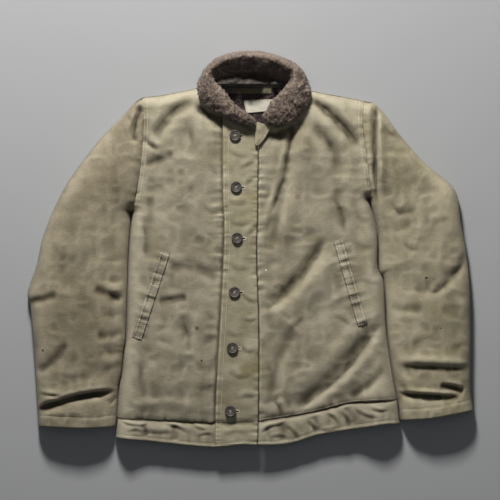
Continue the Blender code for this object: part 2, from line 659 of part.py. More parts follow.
def collar_ring(station):
    """One closed section of the rolled collar, its stand and fall pressed into one body."""
    foot = (station.foot_x, station.foot_y)
    roll = (station.roll_x, station.roll_y)
    edge = (station.edge_x, station.edge_y)
    low_edge = collar_floor(*edge) + station.raised
    bottom = mix(foot, edge, 0.45)
    under = mix(roll, edge, 0.85)
    inner = mix(foot, roll, 0.5)
    crown = mix(roll, edge, 0.45)
    controls = (
        (*foot, station.foot_z),
        (*mix(foot, roll, 0.02), station.foot_z + 0.18 * (station.top - station.foot_z)),
        (*inner, station.foot_z + 0.5 * (station.top - station.foot_z)),
        (*roll, station.top - 3),
        (*crown, station.top),
        (*edge, low_edge + 0.45 * (station.top - low_edge)),
        (*under, collar_floor(*under) + station.raised),
        (*bottom, max(collar_floor(*bottom) + station.raised, station.foot_z - 3)),
    )
    ring = []
    for index in range(len(controls)):
        before, start, end, after = (controls[(index + step) % len(controls)] for step in (-1, 0, 1, 2))
        for t in (0.0, 0.5):
            x, y, z = (blend_cubic(b, s, e, a, t) for b, s, e, a in zip(before, start, end, after))
            ring.append((x, y, max(z, collar_floor(x, y))))
    return ring


def build_collar():
    mesh = bmesh.new()
    rings = []
    for values in smooth(COLLAR, 2):
        rings.append([mesh.verts.new(point) for point in collar_ring(Station(*values))])
    for first, second in zip(rings, rings[1:]):
        for index in range(len(first)):
            after = (index + 1) % len(first)
            mesh.faces.new((first[index], first[after], second[after], second[index]))
    for ring in (rings[0], rings[-1]):
        centre = sum((vert.co for vert in ring), Vector()) / len(ring)
        middle = mesh.verts.new(centre)
        for index in range(len(ring)):
            mesh.faces.new((ring[index], ring[(index + 1) % len(ring)], middle))
    finished("collar", mesh, "pile")


def four_sided(corners):
    """Outline of a piece with straight sides between its four corners."""
    low_left, low_right, high_left, high_right = corners
    return (straight(low_left, low_right), straight(high_left, high_right),
            straight(low_left, high_left), straight(low_right, high_right))


def build_neck():
    tape_top = LINING_TOP + LYING_GAP + TAPE_WALL
    label_top = LINING_TOP + LYING_GAP + LABEL_WALL
    panel("neck_lining", four_sided(LINING_CORNERS), LINING_COLUMNS, LINING_ROWS, lambda x, y: LINING_TOP,
          LINING_WALL, "lining")
    panel("neck_tape", four_sided(TAPE_CORNERS), LINING_COLUMNS, TAPE_ROWS, lambda x, y: tape_top,
          TAPE_WALL, "cloth")
    panel("neck_label", four_sided(LABEL_CORNERS), LABEL_COLUMNS, TAPE_ROWS, lambda x, y: label_top,
          LABEL_WALL, "label")


def build_throat_tab():
    outline = (Line(TAB_TIP), straight(*TAB_SEAM), Line(TAB_LEFT), Line(TAB_RIGHT))

    def height(x, y):
        lifted = TAB_TIP_LIFT * ease(TAB_LIFTS_FROM_Y, TAB_LIFTS_TO_Y, y)
        return top_height(x, y) + TAB_WALL + TAB_CLEARANCE + lifted

    panel("throat_tab", outline, TAB_COLUMNS, TAB_ROWS, height, TAB_WALL, "cloth")


def build_pocket_welts():
    for welt in WELTS:
        top = Vector((welt.top_x, welt.top_y))
        bottom = Vector((welt.bottom_x, welt.bottom_y))
        across = Vector((top.y - bottom.y, bottom.x - top.x)).normalized() * welt.width / 2
        outline = (
            straight(bottom - across, bottom + across),
            straight(top - across, top + across),
            straight(bottom - across, top - across),
            straight(bottom + across, top + across),
        )
        front = "front_left" if top.x < 0 else "front_right"
        raised = LYING_GAP + WELT_WALL

        def height(x, y, front=front, raised=raised):
            return surface_height(front, x, y) + raised

        panel(welt.name, outline, WELT_COLUMNS, WELT_ROWS, height, WELT_WALL, "cloth")


def build_buttons():
    for number, button in enumerate(BUTTONS, 1):
        turns = [2 * pi * step / SEAT_SAMPLES for step in range(SEAT_SAMPLES)]
        around = [(button.x + BUTTON_RADIUS * cos(turn), button.y + BUTTON_RADIUS * sin(turn)) for turn in turns]
        seat = max(surface_height("placket", x, y) for x, y in around + [(button.x, button.y)]) + LYING_GAP
        mesh = bmesh.new()
        verts = [mesh.verts.new((button.x + radius * BUTTON_RADIUS, button.y, seat + rise * BUTTON_THICKNESS))
                 for radius, rise in BUTTON_PROFILE]
        for first, second in zip(verts, verts[1:]):
            mesh.edges.new((first, second))
        bmesh.ops.spin(mesh, geom=mesh.verts[:] + mesh.edges[:], cent=(button.x, button.y, 0), axis=(0, 0, 1),
                       angle=2 * pi, steps=BUTTON_SIDES, use_merge=True)
        bmesh.ops.remove_doubles(mesh, verts=mesh.verts[:], dist=0.001)
        finished(f"button_{number}", mesh, "button")


clear_scene()
build_back()
build_fronts()
build_hem_bands()
build_placket()
build_sleeves()
build_neck()
build_collar()
build_throat_tab()
build_pocket_welts()
build_buttons()
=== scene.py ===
# Deck jacket laid flat on its back, front up, sleeves beside the body.
# The tables give millimetres, and MM turns them into metres where a mesh is made.
# X runs across the jacket, Y from the hem to the collar and Z up from the surface it lies on.

import bmesh
import bpy
import numpy as np
from collections import namedtuple
from math import cos, pi, radians, sin
from mathutils import Matrix, Vector


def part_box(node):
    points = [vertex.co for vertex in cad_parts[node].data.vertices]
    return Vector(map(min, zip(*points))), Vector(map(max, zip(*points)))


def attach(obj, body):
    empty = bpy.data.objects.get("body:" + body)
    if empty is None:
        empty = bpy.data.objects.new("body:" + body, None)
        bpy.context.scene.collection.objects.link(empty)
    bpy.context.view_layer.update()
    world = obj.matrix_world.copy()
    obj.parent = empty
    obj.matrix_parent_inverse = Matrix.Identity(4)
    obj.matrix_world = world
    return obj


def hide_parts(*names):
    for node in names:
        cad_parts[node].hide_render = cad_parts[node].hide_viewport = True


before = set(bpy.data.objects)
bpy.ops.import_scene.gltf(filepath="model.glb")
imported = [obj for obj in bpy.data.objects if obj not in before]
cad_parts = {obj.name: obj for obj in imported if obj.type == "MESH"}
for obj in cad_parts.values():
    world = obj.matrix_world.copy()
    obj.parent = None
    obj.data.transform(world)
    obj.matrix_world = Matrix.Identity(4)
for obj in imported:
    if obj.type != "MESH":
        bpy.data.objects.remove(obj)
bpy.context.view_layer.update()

MM = 0.001
scene = bpy.context.scene


# Camera: it looks straight down on the jacket from far above, with the collar at the top.
# Its long lens shows the whole jacket with hardly any perspective, as the photograph does.

camera_data = bpy.data.cameras.new("camera")
camera_data.sensor_width = 36
camera_data.lens = 184
camera = bpy.data.objects.new("camera", camera_data)
camera.location = (0, 0, 5.0)
scene.collection.objects.link(camera)
scene.camera = camera


# Studio light: a soft box beyond the collar, and a large weak one overhead.
# The floor is a plain pale sheet of card.

scene.view_settings.view_transform = "Standard"
world = bpy.data.worlds.new("studio")
world.use_nodes = True
world.node_tree.nodes["Background"].inputs["Color"].default_value = (0.88, 0.94, 1.0, 1)
world.node_tree.nodes["Background"].inputs["Strength"].default_value = 0.06
scene.world = world


def soft_box(name, place, aim, size, energy, colour):
    data = bpy.data.lights.new(name, "AREA")
    data.shape = "SQUARE"
    data.size = size
    data.energy = energy
    data.color = colour
    light = bpy.data.objects.new(name, data)
    light.location = place
    light.rotation_euler = (Vector(aim) - Vector(place)).to_track_quat("-Z", "Y").to_euler()
    scene.collection.objects.link(light)


soft_box("window", (-0.35, 2.3, 1.45), (0, 0, 0), 0.45, 94, (1.0, 0.985, 0.955))
soft_box("overhead", (0.1, 0.2, 3.4), (0, 0, 0), 2.6, 6, (0.95, 0.97, 1.0))


def new_finish(name, roughness=0.5, **values):
    """A material with its node tree, its shader and the place on the piece that its patterns follow."""
    made = bpy.data.materials.new(name)
    made.use_nodes = True
    tree = made.node_tree
    shader = tree.nodes["Principled BSDF"]
    shader.inputs["Roughness"].default_value = roughness
    for socket, value in values.items():
        shader.inputs[socket.replace("_", " ")].default_value = value
    return made, tree, shader, tree.nodes.new("ShaderNodeTexCoord").outputs["Object"]


card = bmesh.new()
bmesh.ops.create_grid(card, x_segments=1, y_segments=1, size=4)
card_mesh = bpy.data.meshes.new("floor")
card.to_mesh(card_mesh)
card.free()
floor = bpy.data.objects.new("floor", card_mesh)
scene.collection.objects.link(floor)

floor_finish, card_tree, card_shader, card_place = new_finish("pale_card", 0.8)
card_mottle = card_tree.nodes.new("ShaderNodeTexNoise")
card_mottle.inputs["Scale"].default_value = 3
card_tone = card_tree.nodes.new("ShaderNodeMix")
card_tone.data_type = "RGBA"
card_tone.inputs["A"].default_value = (0.415, 0.420, 0.430, 1)
card_tone.inputs["B"].default_value = (0.445, 0.450, 0.460, 1)
card_tree.links.new(card_place, card_mottle.inputs["Vector"])
card_tree.links.new(card_mottle.outputs["Fac"], card_tone.inputs["Factor"])
card_tree.links.new(card_tone.outputs["Result"], card_shader.inputs["Base Color"])
card_mesh.materials.append(floor_finish)


# The back is one panel of heavy cotton jungle cloth, ribbed across, that lies on the surface.
# Its sides curl up to the side seams, the shoulder seams and the armholes.
# The outlines below are those of the whole jacket, so every other panel is cut to them too.

CLOTH_WALL = 3.0
SEAM_GAP = 0.4
SIDE_GAP = 0.9
LEFT_SIDE_SEAM = ((-259, -328), (-256, -271), (-250, -240), (-246, -199), (-241, -160), (-237, -20),
                  (-231, 72))
RIGHT_SIDE_SEAM = ((288, -292), (281, -255), (268, -166), (262, -66), (251, -35), (249, 33), (232, 98))
LEFT_ARMHOLE = ((-231, 72), (-222, 107), (-211, 177), (-207, 244), (-209, 298))
RIGHT_ARMHOLE = ((232, 98), (234, 117), (227, 176), (219, 240), (222, 291))
LEFT_OUTER_SLEEVE = ((-413, -343), (-419, -239), (-428, -120), (-434, -84), (-416, -28), (-401, 35),
                     (-361, 123), (-302, 205), (-242, 269), (-224, 289))
RIGHT_OUTER_SLEEVE = ((436, -312), (431, -257), (431, -100), (424, -15), (413, 48), (400, 117),
                      (345, 166), (294, 223), (260, 269), (240, 288))
LEFT_SHOULDER = ((-209, 298), (-174, 302), (-122, 312), (-90, 320))
RIGHT_SHOULDER = ((222, 291), (172, 301), (130, 309), (96, 318))
BACK_NECKLINE = ((-90, 320), (-45, 325), (0, 323), (50, 323), (96, 318))
HEM_SEAM = ((-259, -328), (-199, -331), (-142, -334), (-70, -337), (17, -333), (121, -316),
            (199, -297), (288, -292))
SEAM_HEIGHT = 9.0
UNDER_ROUNDING = 10


def smooth(points, steps=6):
    """Points of a smooth curve through the given ones."""
    points = np.array(points, dtype=float)
    padded = np.vstack((points[:1], points, points[-1:]))
    t = np.arange(steps)[:, None] / steps
    runs = []
    for before, start, end, after in zip(padded, padded[1:], padded[2:], padded[3:]):
        runs.append((2 * t**3 - 3 * t**2 + 1) * start + (t**3 - 2 * t**2 + t) * (end - before) / 2
                    + (3 * t**2 - 2 * t**3) * end + (t**3 - t**2) * (after - start) / 2)
    return np.vstack((*runs, points[-1:]))


def joined(*runs, shift=(0, 0)):
    """One line through several smooth runs, without doubled points."""
    line = np.vstack([smooth(run) for run in runs]) + shift
    steps = np.hypot(*np.diff(line, axis=0).T)
    return line[np.append(True, steps > 0.01)]


def straight(start, end):
    return np.array((start, end), dtype=float)


def between(points, low, high, axis=0):
    """The part of a smooth line whose x (axis 0) or y (axis 1) lies between two values."""
    dense = smooth(points)
    other = 1 - axis
    ends = np.zeros((2, 2))
    for end, value in zip(ends, (low, high)):
        end[axis] = value
        end[other] = np.interp(value, dense[:, axis], dense[:, other])
    inner = dense[(dense[:, axis] > low + 1) & (dense[:, axis] < high - 1)]
    return np.vstack((ends[0], inner, ends[1]))


def at(line, share):
    """Places on a line at shares of its length."""
    passed = np.append(0, np.cumsum(np.hypot(*np.diff(line, axis=0).T)))
    return np.stack([np.interp(share * passed[-1], passed, line[:, axis]) for axis in (0, 1)], axis=-1)


def measure(line, x, y):
    """Distance from places to a line, the share of it passed there, and the side: 1 left of it, -1 right."""
    gap, passed, side = np.full(x.shape, 1e9), np.zeros(x.shape), np.zeros(x.shape)
    for index, ((x0, y0), (x1, y1)) in enumerate(zip(line, line[1:])):
        along_x, along_y = x1 - x0, y1 - y0
        part = np.clip(((x - x0) * along_x + (y - y0) * along_y) / (along_x**2 + along_y**2), 0, 1)
        off_x, off_y = x - x0 - along_x * part, y - y0 - along_y * part
        here = np.hypot(off_x, off_y)
        nearer = here < gap
        gap = np.where(nearer, here, gap)
        passed = np.where(nearer, (index + part) / (len(line) - 1), passed)
        side = np.where(nearer, np.sign(along_x * off_y - along_y * off_x), side)
    return gap, passed, side


def ease(low, high, value):
    share = np.clip((value - low) / (high - low), 0, 1)
    return share * share * (3 - 2 * share)


def lift(distance, radius):
    """Rise of a rounded edge, 0 at the edge and 1 from radius inwards."""
    return np.sqrt(1 - np.clip(1 - distance / radius, 0, 1)**2)


def bell(distance, width):
    return np.exp(-(distance / width)**2)


def uneven(x, y, size, seed):
    """Smooth random values from -1 to 1, in patches of the given size."""
    table = np.random.default_rng(seed).uniform(-1, 1, (256, 256))
    column, row = x / size, y / size
    i, j = np.floor(column).astype(int), np.floor(row).astype(int)
    s, t = column - i, row - j
    s, t = s * s * (3 - 2 * s), t * t * (3 - 2 * t)
    low = table[i % 256, j % 256] * (1 - s) + table[(i + 1) % 256, j % 256] * s
    high = table[i % 256, (j + 1) % 256] * (1 - s) + table[(i + 1) % 256, (j + 1) % 256] * s
    return low * (1 - t) + high * t


LEFT_SLIT = joined(((-263, -365), (-259, -328)), LEFT_SIDE_SEAM)
RIGHT_SLIT = joined(((294, -339), (288, -292)), RIGHT_SIDE_SEAM)
LEFT_RIM = joined(LEFT_OUTER_SLEEVE, LEFT_OUTER_SLEEVE[-1:] + LEFT_SHOULDER)
RIGHT_RIM = joined(RIGHT_OUTER_SLEEVE, RIGHT_OUTER_SLEEVE[-1:] + RIGHT_SHOULDER)
LEFT_SIDE_LINE = joined(LEFT_SIDE_SEAM, LEFT_ARMHOLE, shift=(SEAM_GAP / 4, 0))
RIGHT_SIDE_LINE = joined(RIGHT_SIDE_SEAM, RIGHT_ARMHOLE, shift=(-SEAM_GAP / 4, 0))


def edge_distance(x, y):
    """Distance to the closed edges: side seams below the armholes, sleeves' outer edges and shoulders."""
    slit = np.minimum(measure(LEFT_SLIT, x, y)[0], measure(RIGHT_SLIT, x, y)[0]) - SIDE_GAP / 2
    rim = np.minimum(measure(LEFT_RIM, x, y)[0], measure(RIGHT_RIM, x, y)[0])
    return np.maximum(0, np.minimum(slit, rim))


def under_height(x, y):
    """Height of the outer, lower face of the cloth that lies on the surface."""
    return (SEAM_HEIGHT - SEAM_GAP / 2) * (1 - lift(edge_distance(x, y), UNDER_ROUNDING))


def shares(length, step, start=(), end=()):
    """Shares of a panel's length: even steps, and closer ones at ends that are rounded."""
    first = start[-1] if start else 0
    last = length - (end[-1] if end else 0)
    middle = np.linspace(first, last, max(2, round((last - first) / step) + 1))
    return np.concatenate((start[:-1], middle, [length - inset for inset in end[-2::-1]])) / length


ROUNDED = (0, 0.25, 0.8, 1.7, 2.9, 4.3, 6, 8)


def blurred(values, reach):
    """Values on a grid averaged with their neighbours along both directions."""
    for _ in range(reach):
        padded = np.pad(values, 1, mode="edge")
        values = (padded[:-2, 1:-1] + padded[2:, 1:-1] + padded[1:-1, :-2] + padded[1:-1, 2:]) / 4
    return values


def add_piece(name, data):
    """A mesh made a piece that rides on the jacket's one body."""
    piece = bpy.data.objects.new(name, data)
    scene.collection.objects.link(piece)
    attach(piece, "root")
    return piece


def cut_panel(name, outline, columns, rows, height, wall, under=False):
    """A cloth panel: a fine grid spread between four lines, raised to its height, with a wall inwards."""
    mesh = bmesh.new()
    bmesh.ops.create_grid(mesh, x_segments=len(columns) - 1, y_segments=len(rows) - 1, size=0.5)
    column = np.rint([(vert.co.x + 0.5) * (len(columns) - 1) for vert in mesh.verts]).astype(int)
    row = np.rint([(vert.co.y + 0.5) * (len(rows) - 1) for vert in mesh.verts]).astype(int)
    u, v = np.meshgrid(columns, rows)
    bottom, top, left, right = outline
    low, high, near, far = at(bottom, u), at(top, u), at(left, v), at(right, v)
    u, v = u[..., None], v[..., None]
    place = ((1 - v) * low + v * high + (1 - u) * near + u * far
             - (1 - u) * (1 - v) * bottom[0] - u * (1 - v) * bottom[-1] - (1 - u) * v * top[0]
             - u * v * top[-1])
    z = height(place[..., 0], place[..., 1])
    place = np.concatenate((place, z[..., None]), axis=-1)
    across = np.cumsum(np.linalg.norm(np.diff(place, axis=1, prepend=place[:, :1]), axis=-1), axis=1)
    along = np.cumsum(np.linalg.norm(np.diff(place, axis=0, prepend=place[:1]), axis=-1), axis=0)
    # Hollow measure, above 0 in troughs and below 0 on ridges: it drives painted shade and highlight in the
    # cloth's colour
    hollow = blurred(z, 20) - z if not under else np.zeros(z.shape)
    weave = mesh.loops.layers.uv.new("weave")
    depth = mesh.verts.layers.float.new("hollow")
    mesh.verts.ensure_lookup_table()
    for vert, c, r in zip(mesh.verts, column, row):
        vert.co = place[r, c] * MM
        vert[depth] = hollow[r, c]
    for face in mesh.faces:
        for loop in face.loops:
            c, r = column[loop.vert.index], row[loop.vert.index]
            loop[weave].uv = (across[r, c] * MM, along[r, c] * MM)
    if under:
        bmesh.ops.reverse_faces(mesh, faces=mesh.faces[:])
    data = bpy.data.meshes.new(name)
    mesh.to_mesh(data)
    data["flat_area"] = sum(face.calc_area() for face in mesh.faces)
    mesh.free()
    data.shade_smooth()
    piece = add_piece(name, data)
    thick = piece.modifiers.new("wall", "SOLIDIFY")
    thick.thickness = wall * MM
    thick.offset = -1
    return piece


def lay(piece, node, finish):
    """Hands a cut panel over: it lies where its node lies, takes its finish, and the node's own part is
    hidden.
    """
    piece.data.materials.append(finish)
    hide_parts(node)


def group_sockets(group, inputs, outputs):
    for name, kind, value in inputs:
        socket = group.interface.new_socket(name, in_out="INPUT", socket_type=kind)
        socket.default_value = value
    for name, kind in outputs:
        group.interface.new_socket(name, in_out="OUTPUT", socket_type=kind)
    return group.nodes.new("NodeGroupInput"), group.nodes.new("NodeGroupOutput")


def maths(tree, operation, first, second=None, clamp=False):
    """A Math node on links or numbers, and its result."""
    node = tree.nodes.new("ShaderNodeMath")
    node.operation = operation
    node.use_clamp = clamp
    for socket, value in zip(node.inputs, (first, second)):
        if isinstance(value, bpy.types.NodeSocket):
            tree.links.new(value, socket)
        elif value is not None:
            socket.default_value = value
    return node.outputs[0]


def spread(tree, value, low, high):
    """A value spread smoothly over 0 to 1 between two of its own values."""
    node = tree.nodes.new("ShaderNodeMapRange")
    node.interpolation_type = "SMOOTHSTEP"
    node.inputs["From Min"].default_value = low
    node.inputs["From Max"].default_value = high
    tree.links.new(value, node.inputs["Value"])
    return node.outputs["Result"]


def mottle(tree, place, size, detail, low, high, roughness=0.5):
    """Noise in patches of a size in metres, spread from 0 to 1 between two noise values."""
    noise = tree.nodes.new("ShaderNodeTexNoise")
    noise.inputs["Scale"].default_value = 1 / size
    noise.inputs["Detail"].default_value = detail
    noise.inputs["Roughness"].default_value = roughness
    tree.links.new(place, noise.inputs["Vector"])
    return spread(tree, noise.outputs["Fac"], low, high)


def blend(tree, factor, first, second):
    """Colours or their links mixed by a factor."""
    node = tree.nodes.new("ShaderNodeMix")
    node.data_type = "RGBA"
    for socket, value in zip((node.inputs["Factor"], node.inputs["A"], node.inputs["B"]),
                             (factor, first, second)):
        if isinstance(value, bpy.types.NodeSocket):
            tree.links.new(value, socket)
        else:
            socket.default_value = value
    return node.outputs["Result"]


# Node group: ribbed jungle cloth, its fine cross ribs and its slubs, as a height
ribbed_weave = bpy.data.node_groups.new("ribbed_weave", "ShaderNodeTree")
weave_in, weave_out = group_sockets(
    ribbed_weave,
    (("Vector", "NodeSocketVector", (0, 0, 0)), ("Rib pitch", "NodeSocketFloat", 0.0011)),
    (("Height", "NodeSocketFloat"), ("Slubs", "NodeSocketFloat")))
split = ribbed_weave.nodes.new("ShaderNodeSeparateXYZ")
ribbed_weave.links.new(weave_in.outputs["Vector"], split.inputs["Vector"])
rib_turns = maths(ribbed_weave, "DIVIDE", 2 * pi, weave_in.outputs["Rib pitch"])
ribs = maths(ribbed_weave, "SINE", maths(ribbed_weave, "MULTIPLY", split.outputs["Y"], rib_turns))
warp_turns = maths(ribbed_weave, "MULTIPLY", rib_turns, 1.7)
warp = maths(ribbed_weave, "SINE", maths(ribbed_weave, "MULTIPLY", split.outputs["X"], warp_turns))
woven = maths(ribbed_weave, "ADD", ribs, maths(ribbed_weave, "MULTIPLY", warp, 0.35))
stretch = ribbed_weave.nodes.new("ShaderNodeMapping")
stretch.inputs["Scale"].default_value = (0.12, 1, 1)
ribbed_weave.links.new(weave_in.outputs["Vector"], stretch.inputs["Vector"])
slubs = mottle(ribbed_weave, stretch.outputs["Vector"], 0.0016, 2, 0.3, 0.75)
ribbed_weave.links.new(maths(ribbed_weave, "ADD", woven, maths(ribbed_weave, "MULTIPLY", slubs, 1.4)),
                       weave_out.inputs["Height"])
ribbed_weave.links.new(slubs, weave_out.inputs["Slubs"])

# Node group: colour of cloth, mottled between dyed and faded and stained, with painted highlight on its
# ridges and painted shade in its hollows
worn_and_shaded_colour = bpy.data.node_groups.new("worn_and_shaded_colour", "ShaderNodeTree")
worn_in, worn_out = group_sockets(
    worn_and_shaded_colour,
    (("Place", "NodeSocketVector", (0, 0, 0)), ("Hollow", "NodeSocketFloat", 0),
     ("Slubs", "NodeSocketFloat", 0.5),
     ("Dyed", "NodeSocketColor", (0.25, 0.21, 0.12, 1)), ("Faded", "NodeSocketColor", (0.5, 0.45, 0.3, 1)),
     ("Hollow shade", "NodeSocketColor", (0.15, 0.12, 0.07, 1)),
     ("Stained", "NodeSocketColor", (0.3, 0.2, 0.08, 1)),
     ("Stain amount", "NodeSocketFloat", 0.4)),
    (("Color", "NodeSocketColor"), ("Rough", "NodeSocketFloat")))
place_in = worn_in.outputs["Place"]
broad = mottle(worn_and_shaded_colour, place_in, 0.11, 2, 0.30, 0.70)
middling = mottle(worn_and_shaded_colour, place_in, 0.028, 4, 0.28, 0.72, 0.6)
grain = mottle(worn_and_shaded_colour, place_in, 0.0035, 3, 0.2, 0.8, 0.7)
shown = maths(worn_and_shaded_colour, "ADD", maths(worn_and_shaded_colour, "MULTIPLY", broad, 0.42),
              maths(worn_and_shaded_colour, "MULTIPLY", middling, 0.36))
shown = maths(worn_and_shaded_colour, "ADD", shown, maths(worn_and_shaded_colour, "MULTIPLY", grain, 0.22))
# Painted highlight and shade: the hollow measure lightens the cloth on its ridges and darkens it in its
# troughs
ridge = maths(worn_and_shaded_colour, "MULTIPLY", worn_in.outputs["Hollow"], -0.26)
shown = maths(worn_and_shaded_colour, "ADD", shown, ridge, clamp=True)
base = blend(worn_and_shaded_colour, shown, worn_in.outputs["Dyed"], worn_in.outputs["Faded"])
stain = mottle(worn_and_shaded_colour, place_in, 0.07, 3, 0.52, 0.74, 0.55)
stain = maths(worn_and_shaded_colour, "MULTIPLY", stain, worn_in.outputs["Stain amount"])
base = blend(worn_and_shaded_colour, stain, base, worn_in.outputs["Stained"])
# Painted shade: troughs are darkened toward the hollow-shade colour, mottled by the middling noise
hollow_shade = maths(worn_and_shaded_colour, "MULTIPLY", worn_in.outputs["Hollow"], 0.45, clamp=True)
hollow_shade = maths(worn_and_shaded_colour, "MULTIPLY", hollow_shade, maths(worn_and_shaded_colour, "ADD", middling, 0.35), clamp=True)
base = blend(worn_and_shaded_colour, hollow_shade, base, worn_in.outputs["Hollow shade"])
# Painted highlight: where the weave's slubs stand raised the colour is up to 8 percent lighter, and elsewhere
# up to 8 percent darker
slub_highlight = maths(worn_and_shaded_colour, "ADD", maths(worn_and_shaded_colour, "MULTIPLY", worn_in.outputs["Slubs"], 0.16), 0.92)
washed = worn_and_shaded_colour.nodes.new("ShaderNodeHueSaturation")
washed.inputs["Saturation"].default_value = 0.84
washed.inputs["Value"].default_value = 0.97
worn_and_shaded_colour.links.new(base, washed.inputs["Color"])
highlighted = worn_and_shaded_colour.nodes.new("ShaderNodeVectorMath")
highlighted.operation = "SCALE"
worn_and_shaded_colour.links.new(washed.outputs["Color"], highlighted.inputs[0])
worn_and_shaded_colour.links.new(slub_highlight, highlighted.inputs["Scale"])
worn_and_shaded_colour.links.new(highlighted.outputs["Vector"], worn_out.inputs["Color"])
worn_and_shaded_colour.links.new(maths(worn_and_shaded_colour, "SUBTRACT", 0.92, maths(worn_and_shaded_colour, "MULTIPLY", shown, 0.14)),
                      worn_out.inputs["Rough"])


def jungle_cloth(name, dyed, faded, shaded, stained, stain_amount, spots=()):
    """Worn ribbed cotton: four colours (dyed, faded, painted shade for hollows, stained), how much is
    stained, and small spots (x, y, radius, colour).
    """
    made, tree, shader, place = new_finish(name, Specular_IOR_Level=0.25, Sheen_Weight=0.18,
                                           Sheen_Roughness=0.45)
    along_cloth = tree.nodes.new("ShaderNodeUVMap")
    along_cloth.uv_map = "weave"
    hollow = tree.nodes.new("ShaderNodeAttribute")
    hollow.attribute_name = "hollow"
    threads = tree.nodes.new("ShaderNodeGroup")
    threads.node_tree = ribbed_weave
    tree.links.new(along_cloth.outputs["UV"], threads.inputs["Vector"])
    worn_and_shaded = tree.nodes.new("ShaderNodeGroup")
    worn_and_shaded.node_tree = worn_and_shaded_colour
    tree.links.new(place, worn_and_shaded.inputs["Place"])
    tree.links.new(hollow.outputs["Fac"], worn_and_shaded.inputs["Hollow"])
    tree.links.new(threads.outputs["Slubs"], worn_and_shaded.inputs["Slubs"])
    for socket, colour in (("Dyed", dyed), ("Faded", faded), ("Hollow shade", shaded), ("Stained", stained)):
        worn_and_shaded.inputs[socket].default_value = (*colour, 1)
    worn_and_shaded.inputs["Stain amount"].default_value = stain_amount
    colour = worn_and_shaded.outputs["Color"]
    for x, y, radius, spot_colour in spots:
        flat = tree.nodes.new("ShaderNodeMapping")
        flat.inputs["Location"].default_value = (-x * MM, -y * MM, 0)
        flat.inputs["Scale"].default_value = (1, 1, 0)
        tree.links.new(place, flat.inputs["Vector"])
        reach = tree.nodes.new("ShaderNodeVectorMath")
        reach.operation = "LENGTH"
        tree.links.new(flat.outputs["Vector"], reach.inputs[0])
        inside = spread(tree, reach.outputs["Value"], radius * MM, radius * MM * 0.5)
        colour = blend(tree, inside, colour, (*spot_colour, 1))
    tree.links.new(colour, shader.inputs["Base Color"])
    tree.links.new(worn_and_shaded.outputs["Rough"], shader.inputs["Roughness"])
    relief = tree.nodes.new("ShaderNodeBump")
    relief.inputs["Strength"].default_value = 0.35
    relief.inputs["Distance"].default_value = 0.0003
    tree.links.new(threads.outputs["Height"], relief.inputs["Height"])
    tree.links.new(relief.outputs["Normal"], shader.inputs["Normal"])
    return made


body_cloth = jungle_cloth("body_cloth", (0.262, 0.222, 0.135), (0.500, 0.440, 0.300), (0.110, 0.092, 0.055),
                          (0.245, 0.190, 0.085), 0.35)

back_outline = (
    joined(HEM_SEAM, shift=(0, SEAM_GAP / 2)),
    joined(LEFT_SHOULDER, BACK_NECKLINE, RIGHT_SHOULDER[::-1]),
    LEFT_SIDE_LINE,
    RIGHT_SIDE_LINE,
)
back_panel = cut_panel("back_panel", back_outline, shares(510, 6, ROUNDED, ROUNDED),
                       shares(640, 6, (), ROUNDED),
                       under_height, CLOTH_WALL, under=True)
lay(back_panel, "back", body_cloth)


# Each sleeve is cut in two pieces, an upper and an under one, of the same cloth over a pile lining.
# They are seamed along both edges, set into the armhole with two rows of stitching, and hemmed at the cuff.
# The sleeves lie flat beside the body and are creased at the elbow and pushed into deep folds above the cuff.

LEFT_CUFF = ((-413, -343), (-312, -346), (-261, -342))
RIGHT_CUFF = ((293, -331), (350, -327), (436, -312))
CUFF_HEM_DEPTH = 20
SIDE_RISE = 17.0
SIDE_ROUNDING = 24.0
BODY_CROWN = 11.0
SLEEVE_CROWN = 21.0
CROWN_REACH = 85.0
HEM_DROP = 7.0
BODY_HALF_WIDTH, SLEEVE_HALF_WIDTH = 195, 250
SETTLES_FROM_Y, SETTLES_TO_Y = -230, -370
SEAM_VALLEY, SEAM_VALLEY_WIDTH = 3.0, 7
SEAM_LINE, SEAM_LINE_WIDTH = 0.9, 1.3
SLEEVE_WIDTH, SLEEVE_LENGTH = 185, 680
COARSE_STEP, FINE_STEP = 6, 2.4

# Each fold is a soft trough (height under 0) or ridge through three places
Fold = namedtuple("Fold", "x0 y0 x1 y1 x2 y2 width height")
SLEEVE_FOLDS = [Fold(*row) for row in (
    (-213, 284, -220, 247, -224, 205, 8, -6.0), (-416, -318, -353, -292, -256, -275, 7, -6.0),
    (-414, -292, -345, -268, -260, -252, 14, 5.0), (-432, -104, -405, -97, -372, -86, 8, -4.0),
    (-305, -76, -275, -86, -244, -98, 9, -4.0), (-420, -240, -384, -217, -352, -178, 10, -4.0),
    (-246, -158, -270, -166, -300, -164, 9, -3.0), (-390, 20, -340, 10, -270, 30, 22, 3.0),
    (245, 288, 240, 224, 243, 112, 7, -7.0), (262, 262, 256, 210, 262, 130, 16, 4.0),
    (280, -215, 350, -212, 431, -221, 14, 5.0), (366, -264, 395, -270, 418, -276, 8, -5.0),
    (284, -279, 350, -290, 414, -284, 7, -5.5), (424, -2, 383, -57, 316, -80, 16, -5.0),
    (280, 238, 300, 215, 320, 190, 10, -3.5), (270, -110, 300, -118, 340, -112, 10, -3.0),
)]

